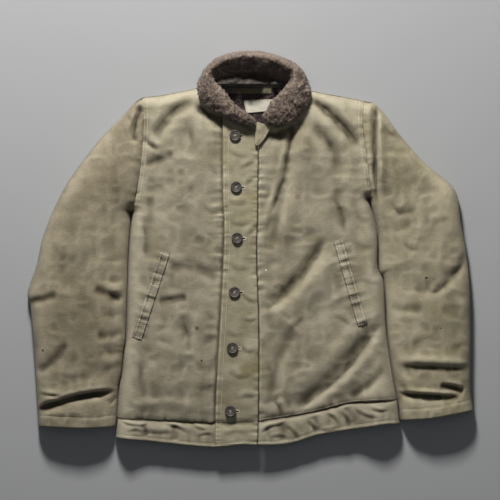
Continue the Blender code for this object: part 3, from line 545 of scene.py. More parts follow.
# Each crease is a trough of a depth, with a ridge along its left side, or its right one if under 0
Crease = namedtuple("Crease", "x0 y0 x1 y1 x2 y2 width depth ridge")
LEFT_SLEEVE_CREASES = [Crease(*row) for row in (
    (-211, 276, -220, 250, -227, 208, 5, 6, -3), (-431, -88, -413, -82, -394, -74, 6.8, 1.4, 1.1),
    (-431, -99, -406, -94, -378, -86, 6.8, 1.2, 1.1), (-301, -78, -273, -86, -248, -98, 8.1, 1.5, 1.4),
    (-418, -237, -384, -217, -357, -183, 10.8, 1.8, 1.5), (-292, -18, -267, -21, -238, -16, 6.8, 1.2, -1.2),
    (-289, -57, -261, -62, -240, -53, 6.8, 1.5, -1.4), (-285, -99, -261, -96, -242, -103, 6.8, 1.4, 1.2),
    (-287, -123, -265, -127, -244, -119, 6.8, 1.2, -1.2),
    (-291, -191, -265, -201, -246, -189, 8.1, 1.8, -1.5), (-292, -236, -269, -230, -250, -238, 8.1, 1.6, 1.4),
    (-416, -279, -390, -282, -365, -284, 3.2, 4, 2.4), (-415, -316, -396, -301, -365, -294, 4.2, 8, 3),
    (-378, -298, -326, -282, -254, -274, 4.2, 7.5, 4), (-304, -277, -285, -289, -267, -296, 6.1, 1.8, 1.2),
    (-275, -304, -265, -292, -255, -283, 4.5, 3.2, -1.8), (-394, -310, -351, -302, -300, -292, 9.5, 1.2, 1),
    (-242, 271, -230, 246, -234, 218, 6, 3.2, 2), (-222, 289, -214, 271, -220, 244, 5, 4, 2),
    (-257, 254, -244, 236, -240, 209, 8.1, 1.5, 1), (-410, -156, -374, -140, -332, -140, 18.9, 1.1, 0.9),
    (-421, -185, -402, -168, -386, -140, 12.2, 1.1, 0.9), (-359, -16, -324, -31, -285, -23, 21.6, 1, 0.8),
    (-370, -68, -324, -51, -292, -66, 16.2, 1, 0.9), (-351, -98, -308, -121, -273, -156, 18.9, 1.1, 0.9),
    (-370, -254, -328, -246, -285, -257, 10.8, 1.1, 1), (-312, 195, -292, 117, -285, 20, 29.7, 1, 0.8),
    (-269, 195, -257, 117, -257, 27, 16.2, 1.1, 0.8),
)]
RIGHT_SLEEVE_CREASES = [Crease(*row) for row in (
    (246, 288, 243, 200, 246, 62, 4.5, 10, 4.5), (254, 250, 277, 224, 318, 216, 8, 3.4, 2.4),
    (261, 201, 289, 193, 320, 203, 12.2, 1.5, -1.4), (269, 99, 292, 72, 330, 82, 9, 3, 2.2),
    (277, 37, 302, 45, 332, 72, 9.5, 1.6, -1.4), (294, 14, 312, 2, 332, 0, 6.1, 1.5, 1.2),
    (349, 47, 370, 55, 390, 64, 6.8, 1.4, 1.2), (318, 166, 339, 156, 359, 142, 6.8, 1.1, 1),
    (367, 105, 390, 98, 411, 82, 8.1, 1.1, 0.9), (425, 0, 408, -35, 384, -57, 7, 3.6, -2.4),
    (390, -53, 367, -78, 343, -84, 7, 3.6, -2.4), (351, -84, 332, -84, 314, -70, 8.1, 1.8, -1.5),
    (277, -226, 351, -228, 431, -232, 6, 3.6, 3.4), (365, -263, 394, -266, 419, -276, 3.6, 4.6, 2.6),
    (281, -280, 341, -282, 411, -286, 3.6, 8, 4), (279, -246, 298, -269, 310, -287, 6, 3.2, 2),
    (308, -187, 332, -176, 355, -166, 6.8, 1.2, 1), (394, -76, 411, -90, 429, -99, 5.4, 1.4, -1.5),
    (394, -195, 413, -187, 431, -191, 6.8, 1.4, 1), (292, -98, 322, -121, 339, -156, 13.5, 1.2, 1),
    (269, 0, 281, -49, 277, -98, 16.2, 1.1, 0.9), (292, 136, 332, 117, 382, 125, 16.2, 1.1, 0.9),
    (254, 176, 259, 78, 269, -23, 9.5, 1.4, -1), (363, 20, 390, 27, 421, 20, 12.2, 1.1, 0.9),
    (312, -296, 351, -300, 400, -294, 6.8, 1.1, 0.9), (285, -136, 308, -140, 332, -133, 8.1, 1.1, 1),
    (370, -117, 400, -133, 425, -136, 10.8, 1.1, 1),
)]


def within(line, reach, x, y):
    """Whether any place lies near enough to a line to feel it."""
    low, high = line.min(axis=0) - reach, line.max(axis=0) + reach
    return ((x > low[0]) & (x < high[0]) & (y > low[1]) & (y < high[1]))


def folded(folds, x, y):
    """Soft main folds as heights."""
    total = np.zeros(x.shape)
    for fold in folds:
        line = smooth(((fold.x0, fold.y0), (fold.x1, fold.y1), (fold.x2, fold.y2)), 4)
        near = within(line, 2.5 * fold.width, x, y)
        gap, share, _ = measure(line, x[near], y[near])
        total[near] += fold.height * bell(gap, fold.width) * ease(0, 0.22, share) * ease(0, 0.22, 1 - share)
    return total


def creased(creases, x, y):
    """Sharper creases as heights: a trough that wavers in depth, and the cloth pushed up beside it."""
    total = np.zeros(x.shape)
    for number, crease in enumerate(creases):
        line = smooth(((crease.x0, crease.y0), (crease.x1, crease.y1), (crease.x2, crease.y2)), 5)
        near = within(line, 5 * crease.width, x, y)
        gap, share, side = measure(line, x[near], y[near])
        signed = gap * side * np.sign(crease.ridge)
        waver = 1 + 0.35 * uneven(x[near], y[near], 16, 900 + number)
        taper = ease(0, 0.42, share) * ease(0, 0.42, 1 - share) * waver
        trough = -crease.depth * (0.5 * bell(gap, 1.1 * crease.width)
                                  + 0.5 * np.exp(-gap / (0.8 * crease.width)))
        shoulder = abs(crease.ridge) * bell(signed - 1.9 * crease.width, 1.5 * crease.width)
        total[near] += (trough + shoulder) * taper
    return total


def rumpled(x, y, seed):
    """The slight unevenness of heavy cloth over a pile lining."""
    drift_x, drift_y = 9 * uneven(x, y, 40, seed + 3), 9 * uneven(x, y, 40, seed + 4)
    creases = 1 - 2.6 * abs(uneven(x + drift_x, 0.8 * y + drift_y, 44, seed + 1))
    fine = 1 - 2.6 * abs(uneven(x + 0.5 * drift_x, y + 0.5 * drift_y, 19, seed + 2))
    return 1.5 * uneven(x, y, 62, seed) + 1.1 * creases + 0.45 * fine


def puckered(line, x, y, pitch, reach, depth, seed):
    """Cloth drawn up in short ripples across a line of stitching."""
    total = np.zeros(x.shape)
    near = within(line, 3 * reach, x, y)
    gap, share, _ = measure(line, x[near], y[near])
    length = np.hypot(*np.diff(line, axis=0).T).sum()
    ripple = (uneven(share * length, 0.12 * gap, pitch, seed)
              + 0.5 * uneven(share * length, 0.1 * gap, pitch * 0.55, seed + 1))
    total[near] = depth * ripple * bell(gap, reach)
    return total


ARMHOLE_LINES = (joined(LEFT_ARMHOLE), joined(RIGHT_ARMHOLE))
HEM_SEAM_LINE = joined(HEM_SEAM)


def upper_height(x, y, folds, details):
    """Outer height of the cloth that faces up: rounded edges, a crown between them, folds and details."""
    edge = edge_distance(x, y)
    on_sleeve = ease(BODY_HALF_WIDTH, SLEEVE_HALF_WIDTH, abs(x))
    crown = BODY_CROWN + (SLEEVE_CROWN - BODY_CROWN) * on_sleeve
    low = HEM_DROP * ease(SETTLES_FROM_Y, SETTLES_TO_Y, y) * (1 - on_sleeve)
    rounding = lift(edge, SIDE_ROUNDING)
    height = SEAM_HEIGHT + SEAM_GAP / 2 + (SIDE_RISE - low) * rounding + crown * lift(edge, CROWN_REACH)
    for line in ARMHOLE_LINES + (HEM_SEAM_LINE,):
        gap = measure(line, x, y)[0]
        height -= (SEAM_VALLEY * bell(gap, SEAM_VALLEY_WIDTH)
                   + SEAM_LINE * bell(gap, SEAM_LINE_WIDTH)) * rounding
    return height + (folded(folds, x, y) + details(x, y)) * rounding


LEFT_CUFF_LINE, RIGHT_CUFF_LINE = joined(LEFT_CUFF), joined(RIGHT_CUFF)


def cuff_hem(line, x, y, seed):
    """A turned hem at a cuff: a thicker rounded edge, the groove of its stitching and the puckers there."""
    gap = measure(line, x, y)[0]
    inside = 1 - ease(CUFF_HEM_DEPTH - 2, CUFF_HEM_DEPTH + 1, gap)
    height = 1.2 * inside - 2.6 * (1 - lift(gap, 3.5)) - 0.9 * bell(gap - CUFF_HEM_DEPTH, 1.6)
    wrinkles = 0.9 * uneven(x * 1.2, y * 0.35, 8, seed) * bell(gap - 0.6 * CUFF_HEM_DEPTH, 12)
    return height + wrinkles


def sleeve_height(creases, cuff_line, side_line, seed):
    """The height function of one upper sleeve."""
    def details(x, y):
        return (creased(creases, x, y) + rumpled(x, y, seed) + cuff_hem(cuff_line, x, y, seed + 10)
                + puckered(side_line, x, y, 9, 14, 1.1, seed + 20))

    def height(x, y):
        return upper_height(x, y, SLEEVE_FOLDS, details)
    return height


left_sleeve_height = sleeve_height(LEFT_SLEEVE_CREASES, LEFT_CUFF_LINE, LEFT_SIDE_LINE, 11)
right_sleeve_height = sleeve_height(RIGHT_SLEEVE_CREASES, RIGHT_CUFF_LINE, RIGHT_SIDE_LINE, 12)
left_sleeve_cloth = jungle_cloth("left_sleeve_cloth", (0.200, 0.162, 0.092), (0.420, 0.355, 0.225),
                                 (0.085, 0.066, 0.036), (0.190, 0.140, 0.060), 0.40,
                                 spots=((-402, -195, 3.0, (0.06, 0.05, 0.03)),))
right_sleeve_cloth = jungle_cloth("right_sleeve_cloth", (0.245, 0.205, 0.110), (0.480, 0.415, 0.262),
                                  (0.105, 0.085, 0.045), (0.255, 0.195, 0.070), 0.55,
                                  spots=((342, -54, 3.2, (0.05, 0.035, 0.025)),
                                         (370, -152, 2.0, (0.10, 0.08, 0.05))))
left_sleeve_outline = (
    LEFT_CUFF_LINE,
    joined((LEFT_OUTER_SLEEVE[-1], LEFT_ARMHOLE[-1]), shift=(-SEAM_GAP / 4, 0)),
    joined(LEFT_OUTER_SLEEVE),
    joined(LEFT_CUFF[-1:] + LEFT_SIDE_SEAM, LEFT_ARMHOLE, shift=(-SEAM_GAP / 4, 0)),
)
right_sleeve_outline = (
    RIGHT_CUFF_LINE,
    joined((RIGHT_ARMHOLE[-1], RIGHT_OUTER_SLEEVE[-1]), shift=(SEAM_GAP / 4, 0)),
    joined(RIGHT_CUFF[:1] + RIGHT_SIDE_SEAM, RIGHT_ARMHOLE, shift=(SEAM_GAP / 4, 0)),
    joined(RIGHT_OUTER_SLEEVE),
)
OPEN_EDGE = (0, 0.4, 1.1, 2.2, 3.8, 6)
for side, outline, height, finish in (("left", left_sleeve_outline, left_sleeve_height, left_sleeve_cloth),
                                      ("right", right_sleeve_outline, right_sleeve_height,
                                       right_sleeve_cloth)):
    under_sleeve = cut_panel(f"{side}_under_sleeve", outline,
                             shares(SLEEVE_WIDTH, COARSE_STEP, ROUNDED, ROUNDED),
                             shares(SLEEVE_LENGTH, COARSE_STEP), under_height, CLOTH_WALL, under=True)
    lay(under_sleeve, f"sleeve_under_{side}", finish)
    upper_sleeve = cut_panel(f"{side}_upper_sleeve", outline,
                             shares(SLEEVE_WIDTH, FINE_STEP, ROUNDED, ROUNDED),
                             shares(SLEEVE_LENGTH, FINE_STEP, OPEN_EDGE), height, CLOTH_WALL)
    lay(upper_sleeve, f"sleeve_top_{side}", finish)


# The two front panels are the same cloth, sewn to the back at the sides and shoulders and to the sleeves.
# Slack over the pile lining lies in soft diagonal folds, mostly on the right one.
# The left panel's own edge runs on beneath the fly strip.

LEFT_NECKLINE = ((-90, 320), (-76, 300), (-62, 286), (-40, 270), (-10, 255))
RIGHT_NECKLINE = ((96, 318), (84, 298), (70, 277), (44, 252), (17, 244))
FLY_EDGE = ((-68, -381), (-66, -279), (-54, -66), (-50, 43), (-53, 117), (-53, 264))
FLY_SEAM = ((15, -378), (17, -292), (17, -134), (13, -15), (15, 70), (16, 162), (17, 243))
LEFT_FRONT_EDGE_X = -10
SEAM_LEFT_X, SEAM_FLY_X, SEAM_RIGHT_X = -259, 17, 288
FLY_SEAM_BAND_Y, FLY_SEAM_TOP_Y = -333, 243
FLY_SLOPE = (8, 75)
FLY_GAP = 0.8
FLY_RISE = 4.4
FRONT_FOLDS = [Fold(*row) for row in (
    (118, 298, 160, 259, 214, 200, 10, -6.0), (104, 284, 140, 244, 190, 196, 14, 3.0),
    (120, 248, 167, 181, 172, 140, 14, -4.0), (86, 250, 68, 146, 36, -25, 10, -5.0),
    (104, 246, 88, 127, 62, 10, 18, 5.0), (150, 30, 92, -62, 25, -124, 14, -5.0),
    (163, 0, 110, -90, 40, -150, 18, 3.0), (262, -130, 156, -248, 86, -312, 12, -5.5),
    (246, -112, 137, -222, 66, -288, 18, 4.5), (266, -230, 230, -262, 190, -290, 10, -3.5),
    (92, -150, 51, -220, 41, -300, 12, -3.5), (-104, 300, -150, 258, -190, 220, 12, -4.5),
    (-205, 166, -175, 176, -145, 186, 9, -3.0), (-199, 110, -194, 45, -199, -25, 16, -3.5),
    (-162, -36, -113, -31, -58, -64, 12, -4.0), (-180, -101, -150, -98, -120, -91, 9, -3.0),
    (-120, 200, -105, 110, -112, 20, 26, 3.0), (-235, -300, -170, -296, -90, -304, 12, 3.0),
    (-150, -340, -148, -355, -146, -372, 8, -3.0), (-208, -338, -206, -350, -203, -364, 8, -2.5),
    (60, -334, 64, -350, 66, -372, 9, -3.0), (124, -322, 128, -338, 132, -354, 9, -2.5),
    (188, -304, 193, -322, 197, -342, 9, -3.0),
)]
LEFT_FRONT_CREASES = [Crease(*row) for row in (
    (-118, 290, -76, 262, -22, 238, 13, 9, 6), (-109, 295, -152, 269, -187, 224, 9, 4.5, -3),
    (-205, 216, -191, 203, -174, 193, 4.5, 3.2, 2.4), (-203, 164, -176, 179, -140, 197, 9.5, 1.6, 1.7),
    (-129, 252, -115, 220, -103, 187, 12, 3.2, 1.6), (-103, 129, -119, 113, -135, 99, 13.5, 1.8, 1.2),
    (-214, 90, -203, 29, -205, -23, 8.1, 1.8, -1.5), (-92, 35, -72, 27, -53, 20, 5.4, 1.1, 0.9),
    (-138, -123, -123, -156, -117, -203, 12, 3, 1.8), (-213, -211, -213, -244, -218, -281, 10, 2.8, 2),
    (-158, -135, -176, -156, -197, -168, 6.8, 1.1, -1), (-179, -101, -148, -96, -119, -92, 5.4, 1.4, 1.2),
    (-92, -187, -74, -172, -55, -164, 6.8, 1.1, 1), (-197, -172, -170, -176, -144, -185, 6.8, 1.1, 0.9),
    (-111, -285, -86, -269, -57, -261, 8.1, 1.4, 1.2), (-195, 254, -179, 269, -156, 285, 10.8, 1.6, 1.4),
    (-201, 136, -179, 125, -152, 129, 9.5, 1.2, 1.2), (-176, 72, -148, 84, -117, 82, 13.5, 1.2, 1.2),
    (-98, 98, -78, 74, -55, 66, 8.1, 1.2, 1), (-84, 176, -70, 152, -55, 136, 8.1, 1.1, 1),
    (-146, 29, -117, 14, -88, 20, 16.2, 1.2, 0.9), (-105, -58, -82, -74, -58, -70, 10.8, 1.1, 1),
    (-160, -58, -136, -78, -113, -78, 10.8, 1.1, 1), (-176, -238, -136, -226, -98, -234, 18.9, 1.1, 0.9),
    (-222, -176, -195, -199, -156, -211, 10.8, 1.1, 1), (-195, -277, -166, -289, -125, -292, 13.5, 1, 0.9),
    (-88, -117, -74, -133, -57, -140, 6.8, 1, 0.9), (-88, -238, -70, -226, -55, -230, 6.8, 1, 0.9),
)]
RIGHT_FRONT_CREASES = [Crease(*row) for row in (
    (20, 232, 52, 222, 104, 256, 12, 8, 5), (112, 300, 166, 257, 216, 198, 10, 6.5, 3),
    (263, -130, 176, -244, 88, -311, 8, 5, 3.5), (147, 30, 90, -62, 25, -122, 9, 4.5, 3),
    (86, 250, 76, 195, 66, 140, 4.5, 3.4, -2.8), (70, 152, 53, 105, 39, 62, 4.5, 3.2, -2.6),
    (43, 74, 31, 27, 33, -23, 6.1, 1.6, -1.5), (162, 105, 177, 72, 185, 27, 8, 4.2, 2.6),
    (88, 21, 115, 31, 148, 37, 9.5, 1.2, 1.2), (74, -164, 92, -144, 107, -129, 5.4, 1.6, 1.5),
    (21, -138, 53, -127, 94, -136, 8.1, 1.2, 1.2), (158, -125, 179, -136, 199, -148, 5.4, 1.4, 1.2),
    (170, -109, 179, -94, 187, -76, 5.4, 1.1, 1), (214, -58, 234, -66, 257, -70, 5.4, 1.1, 1),
    (45, -291, 57, -306, 64, -332, 4.5, 3, 2.2), (21, -302, 43, -292, 70, -289, 6.1, 1.4, 1.2),
    (23, 133, 39, 144, 64, 152, 6.8, 1.4, 1.2), (23, 98, 35, 105, 51, 105, 6.8, 1.1, 1),
    (23, 35, 35, 47, 51, 70, 6.8, 1.2, 1), (185, 176, 199, 152, 211, 125, 10.8, 1.6, -1.5),
    (121, 250, 156, 203, 170, 140, 12, 3.6, -2.4), (170, 152, 172, 117, 162, 82, 13.5, 1.6, 1.4),
    (199, 78, 218, 55, 242, 39, 9.5, 1.4, 1.2), (195, 20, 218, 4, 246, 0, 9.5, 1.2, 1.2),
    (98, -39, 66, -78, 23, -98, 12, 3, 2.4), (176, -176, 148, -199, 121, -211, 18.9, 1.4, 1.4),
    (254, -238, 226, -261, 195, -277, 13.5, 1.8, 1.5), (136, -300, 168, -289, 199, -289, 10.8, 1.1, 1),
    (23, -214, 39, -238, 39, -277, 10.8, 1.4, 1), (117, 0, 133, -23, 129, -55, 13.5, 1.4, 1.2),
    (23, -35, 43, -23, 66, -23, 8.1, 1.1, 1), (199, 214, 218, 199, 238, 195, 8.1, 1.2, 1),
    (98, 214, 121, 195, 133, 160, 16.2, 1.2, 1), (140, -98, 121, -129, 90, -152, 16.2, 1.4, 1.2),
)]

# Ends of the pocket openings, whose stitching draws up the cloth round them
LEFT_POCKET = ((-164, -3), (-220, -173))
RIGHT_POCKET = ((171, 20), (219, -147))

FLY_EDGE_LINE, FLY_SEAM_LINE = joined(FLY_EDGE), joined(FLY_SEAM)


def fly_seam_x(y):
    return np.interp(y, FLY_SEAM_LINE[:, 1], FLY_SEAM_LINE[:, 0])


def lapped_seam(line, x, y, toward=1):
    """A seam pressed to one side: a low step over its turnings on the left of the line, or on the right."""
    gap, _, side = measure(line, x, y)
    return (0.7 * (1 - ease(8, 10.5, gap)) * (side * toward > 0)
            - 0.5 * bell(gap - 2, 1.2) - 0.5 * bell(gap - 8, 1.2))


def left_front_details(x, y):
    beside_fly = 3.2 * bell(measure(FLY_EDGE_LINE, x, y)[0], 4.5)
    under_fly = ease(-6, 3, x - np.interp(y, FLY_EDGE_LINE[:, 1], FLY_EDGE_LINE[:, 0]))
    free = (creased(LEFT_FRONT_CREASES, x, y) + rumpled(x, y, 13) + lapped_seam(ARMHOLE_LINES[0], x, y, -1)
            + puckered(FLY_EDGE_LINE, x, y, 10, 22, 1.5, 41)
            + puckered(ARMHOLE_LINES[0], x, y, 8, 15, 1.3, 42)
            + puckered(HEM_SEAM_LINE, x, y, 9, 14, 0.9, 43)
            + puckered(straight(*LEFT_POCKET), x, y, 9, 19, 1.4, 44))
    return free * (1 - under_fly) - beside_fly


def right_front_details(x, y):
    return (creased(RIGHT_FRONT_CREASES, x, y) + rumpled(x, y, 14) + lapped_seam(ARMHOLE_LINES[1], x, y, 1)
            + puckered(FLY_SEAM_LINE, x, y, 9, 16, 1.3, 45) + puckered(ARMHOLE_LINES[1], x, y, 8, 14, 1.2, 46)
            + puckered(HEM_SEAM_LINE, x, y, 9, 14, 0.9, 47)
            + puckered(straight(*RIGHT_POCKET), x, y, 9, 19, 1.4, 48))


def left_front_height(x, y):
    return upper_height(x, y, FRONT_FOLDS, left_front_details)


def beside_fly_height(x, y, details):
    """Cloth right of the fly strip meets the strip at the strip's own height, with a groove at the seam."""
    beyond = np.maximum(0, x - fly_seam_x(y))
    rise = FLY_RISE * (1 - ease(*FLY_SLOPE, beyond)) * lift(edge_distance(x, y), SIDE_ROUNDING)
    return upper_height(x, y, FRONT_FOLDS, details) + rise - 1.2 * bell(beyond, 1.6)


def right_front_height(x, y):
    return beside_fly_height(x, y, right_front_details)


half_seam = SEAM_GAP / 2
left_front_seam = between(HEM_SEAM, SEAM_LEFT_X, LEFT_FRONT_EDGE_X)
left_front_outline = (
    left_front_seam + (0, half_seam),
    joined(LEFT_SHOULDER, LEFT_NECKLINE),
    LEFT_SIDE_LINE,
    straight((LEFT_FRONT_EDGE_X, left_front_seam[-1][1] + half_seam), LEFT_NECKLINE[-1]),
)
left_front_panel = cut_panel("left_front_panel", left_front_outline, shares(240, 2.4, ROUNDED),
                             shares(625, 2.5, (), ROUNDED), left_front_height, CLOTH_WALL)
left_front_cloth = jungle_cloth("left_front_cloth", (0.255, 0.215, 0.130), (0.495, 0.435, 0.292),
                                (0.105, 0.088, 0.052), (0.245, 0.195, 0.090), 0.35,
                                spots=((-103, -152, 5.5, (0.15, 0.125, 0.08)),
                                       (-94, -215, 2.6, (0.05, 0.04, 0.03))))
lay(left_front_panel, "front_left", left_front_cloth)

right_front_outline = (
    between(HEM_SEAM, SEAM_FLY_X, SEAM_RIGHT_X) + (FLY_GAP / 2, half_seam),
    joined(RIGHT_NECKLINE[::-1], RIGHT_SHOULDER[::-1]),
    between(FLY_SEAM, FLY_SEAM_BAND_Y, FLY_SEAM_TOP_Y, axis=1) + (FLY_GAP / 2, half_seam),
    RIGHT_SIDE_LINE,
)
right_front_panel = cut_panel("right_front_panel", right_front_outline, shares(250, 2.4, (), ROUNDED),
                              shares(625, 2.5, (), ROUNDED), right_front_height, CLOTH_WALL)
right_front_cloth = jungle_cloth("right_front_cloth", (0.258, 0.217, 0.130), (0.490, 0.430, 0.288),
                                 (0.105, 0.088, 0.050), (0.250, 0.195, 0.082), 0.40,
                                 spots=((31, -39, 2.6, (0.75, 0.74, 0.68)),
                                        (93, 103, 7.0, (0.33, 0.24, 0.19))))
lay(right_front_panel, "front_right", right_front_cloth)


# The hem band is a strip of the same cloth folded double, sewn to the lower edge in three lengths.
# Its seam is pressed down under the puffed front panels, and a row of stitching holds its rolled lower edge.

BAND_WALL = 3.5
HEM_EDGE = ((-263, -365), (-199, -372), (-72, -384), (-20, -379), (68, -378), (137, -359),
            (199, -349), (261, -339), (294, -339))
ROLL_DEPTH = 7
EDGE_LEFT_X, EDGE_FLY_X, EDGE_RIGHT_X = -263, 15, 294
FLY_SEAM_LOW_Y = -378
BACK_BAND_SHORTER = 2.0
LEFT_BAND_CREASES = [Crease(*row) for row in (
    (-255, -332, -234, -341, -199, -345, 3, 2, 1.5), (-214, -351, -179, -357, -144, -355, 4, 1.8, 1.4),
    (-176, -337, -144, -345, -117, -359, 3.2, 2.2, 1.6), (-121, -335, -98, -349, -74, -353, 3.2, 2, 1.5),
    (-105, -365, -86, -359, -70, -363, 3, 1.6, 1.2), (-242, -357, -222, -351, -207, -359, 3, 1.5, 1.2),
)]
RIGHT_BAND_CREASES = [Crease(*row) for row in (
    (21, -359, 39, -345, 70, -341, 3.2, 2.2, 1.7), (64, -339, 82, -353, 99, -372, 3.4, 2.4, 1.8),
    (109, -330, 119, -341, 131, -353, 3.2, 2.2, 1.6), (144, -316, 164, -328, 174, -345, 3.2, 2.2, 1.6),
    (174, -314, 189, -330, 195, -349, 3.2, 2.4, 1.8), (197, -304, 222, -322, 255, -328, 3.2, 2.2, 1.6),
    (230, -306, 250, -314, 273, -312, 3, 1.8, 1.4), (35, -367, 58, -363, 78, -369, 3, 1.6, 1.2),
    (133, -351, 152, -353, 176, -347, 3, 1.6, 1.2),
)]

HEM_EDGE_LINE = joined(HEM_EDGE)


def band_details(creases, seed):
    def details(x, y):
        to_edge, to_seam = measure(HEM_EDGE_LINE, x, y)[0], measure(HEM_SEAM_LINE, x, y)[0]
        rolled = (0.9 * (1 - ease(ROLL_DEPTH - 2, ROLL_DEPTH, to_edge)) - 2.4 * (1 - lift(to_edge, 3))
                  - 0.9 * bell(to_edge - ROLL_DEPTH, 1.3))
        tucked = -2.0 * bell(to_seam, 3)
        return (creased(creases, x, y) + rolled + tucked + 0.9 * uneven(x, y * 0.5, 13, seed)
                + uneven(x, y * 0.3, 7, seed + 1) * bell(to_edge - 16, 14))
    return details


left_band_details = band_details(LEFT_BAND_CREASES, 51)
right_band_details = band_details(RIGHT_BAND_CREASES, 52)


def left_band_height(x, y):
    return upper_height(x, y, FRONT_FOLDS, left_band_details)


def right_band_height(x, y):
    return beside_fly_height(x, y, right_band_details)


band_cloth = jungle_cloth("band_cloth", (0.255, 0.212, 0.125), (0.505, 0.445, 0.300), (0.100, 0.082, 0.048),
                          (0.240, 0.185, 0.080), 0.40)
left_edge_cut = between(HEM_EDGE, EDGE_LEFT_X, LEFT_FRONT_EDGE_X)
left_band_outline = (
    left_edge_cut,
    left_front_seam - (0, half_seam),
    straight(HEM_EDGE[0], HEM_SEAM[0]) + (SIDE_GAP / 2, 0),
    straight(left_edge_cut[-1], left_front_seam[-1] - (0, half_seam)),
)
right_band_outline = (
    between(HEM_EDGE, EDGE_FLY_X, EDGE_RIGHT_X) + (FLY_GAP / 2, 0),
    between(HEM_SEAM, SEAM_FLY_X, SEAM_RIGHT_X) + (FLY_GAP / 2, -half_seam),
    between(FLY_SEAM, FLY_SEAM_LOW_Y, FLY_SEAM_BAND_Y, axis=1) + (FLY_GAP / 2, -half_seam),
    straight(HEM_EDGE[-1], HEM_SEAM[-1]) - (SIDE_GAP / 2, 0),
)
back_band_outline = (
    HEM_EDGE_LINE + (0, BACK_BAND_SHORTER),
    HEM_SEAM_LINE - (0, half_seam),
    straight(HEM_EDGE[0], HEM_SEAM[0]) + (SIDE_GAP / 2, 0),
    straight(HEM_EDGE[-1], HEM_SEAM[-1]) - (SIDE_GAP / 2, 0),
)
back_band = cut_panel("back_hem_band", back_band_outline, shares(560, 6, ROUNDED, ROUNDED),
                      shares(42, 6, OPEN_EDGE),
                      under_height, BAND_WALL, under=True)
lay(back_band, "hem_band_back", band_cloth)
left_band = cut_panel("left_hem_band", left_band_outline, shares(255, 2.2, ROUNDED),
                      shares(42, 1.9, OPEN_EDGE),
                      left_band_height, BAND_WALL)
lay(left_band, "hem_band_left", band_cloth)
right_band = cut_panel("right_hem_band", right_band_outline, shares(285, 2.2, (), ROUNDED),
                       shares(42, 1.9, OPEN_EDGE), right_band_height, BAND_WALL)
lay(right_band, "hem_band_right", band_cloth)


# The fly strip carries the buttons' holes and covers the left front's edge.
# It is folded cloth, edge-stitched with two rows down its free side and one down its seam.

FLY_ROWS = (3.0, 11.0)
BUTTONS = ((-29, 222), (-27, 122), (-25, 23), (-30, -82), (-34, -190), (-38, -313))
FLY_CREASES = [Crease(*row) for row in (
    (-95, 270, -30, 243, 22, 224, 13, 9, 6), (-47, 199, -27, 183, 0, 179, 5, 1.6, 1.2),
    (-23, 154, -4, 164, 18, 176, 4, 1.8, 1.5), (-10, 123, 4, 136, 20, 146, 4, 1.6, 1.4),
    (-51, 98, -27, 86, 4, 94, 6, 1.4, 1.2), (-43, 57, -20, 47, 12, 55, 4.5, 1.6, 1.4),
    (-12, 20, 4, 35, 18, 47, 4.5, 1.6, 1.4), (-51, -23, -23, -39, 8, -35, 5, 1.5, 1.3),
    (-20, -82, -4, -98, 14, -105, 4, 1.8, 1.5), (-14, -133, 0, -140, 16, -133, 3.5, 2, 1.6),
    (-20, -185, -4, -199, 12, -195, 4, 1.8, 1.5), (-51, -156, -31, -168, -8, -164, 5, 1.3, 1.1),
    (-43, -234, -20, -250, 12, -242, 5, 1.5, 1.2), (-23, -292, -4, -285, 16, -289, 4.5, 1.6, 1.3),
    (-58, -332, -35, -347, -4, -343, 5, 1.5, 1.2), (-55, -363, -27, -355, 8, -359, 4, 1.5, 1.2),
)]


def fly_details(x, y):
    to_edge, to_seam, to_hem = (measure(line, x, y)[0]
                                for line in (FLY_EDGE_LINE, FLY_SEAM_LINE, HEM_EDGE_LINE))
    height = 0.7 * creased(FLY_CREASES, x, y) + 0.7 * uneven(x, y, 30, 61) + 0.4 * uneven(x, y, 12, 62)
    height += puckered(FLY_EDGE_LINE, x, y, 7, 12, 1.0, 63) + puckered(FLY_SEAM_LINE, x, y, 8, 12, 1.2, 64)
    height -= 2.4 * (1 - lift(to_edge, 3)) + 2.4 * (1 - lift(to_hem, 3)) + 1.4 * bell(to_seam, 1.8)
    for row in FLY_ROWS:
        height -= 0.55 * bell(to_edge - row, 1.3)
    height -= 0.7 * bell(to_hem - ROLL_DEPTH, 1.3)
    for button_x, button_y in BUTTONS:
        height -= 1.1 * bell(np.hypot(x - button_x, y - button_y), 13)
    return np.maximum(height, -2.6)


def fly_height(x, y):
    return upper_height(x, y, FRONT_FOLDS, fly_details) + FLY_RISE


fly_outline = (
    straight(FLY_EDGE[0], FLY_SEAM[0]),
    np.array((FLY_EDGE[-1], LEFT_NECKLINE[-1], FLY_SEAM[-1]), dtype=float),
    FLY_EDGE_LINE,
    FLY_SEAM_LINE - (FLY_GAP / 2, 0),
)
fly_strip = cut_panel("fly_strip", fly_outline, shares(70, 1.9, OPEN_EDGE), shares(640, 2.1, OPEN_EDGE),
                      fly_height, CLOTH_WALL)
fly_cloth = jungle_cloth("fly_cloth", (0.265, 0.225, 0.120), (0.510, 0.455, 0.295), (0.110, 0.092, 0.050),
                         (0.300, 0.235, 0.085), 0.75)
lay(fly_strip, "placket", fly_cloth)


# Each slanted pocket is faced with a narrow welt of the same cloth, topstitched all round.
# The stitching draws it into ridges across, and its opening is the slit along its outer side.

WELT_WALL = 2.5
WELT_WIDTH = 20
WELT_RISE = 2.9
WELT_LENGTH = 178
welt_cloth = jungle_cloth("welt_cloth", (0.170, 0.145, 0.088), (0.500, 0.445, 0.305), (0.055, 0.046, 0.028),
                          (0.200, 0.155, 0.072), 0.55)
welt_outlines = {}


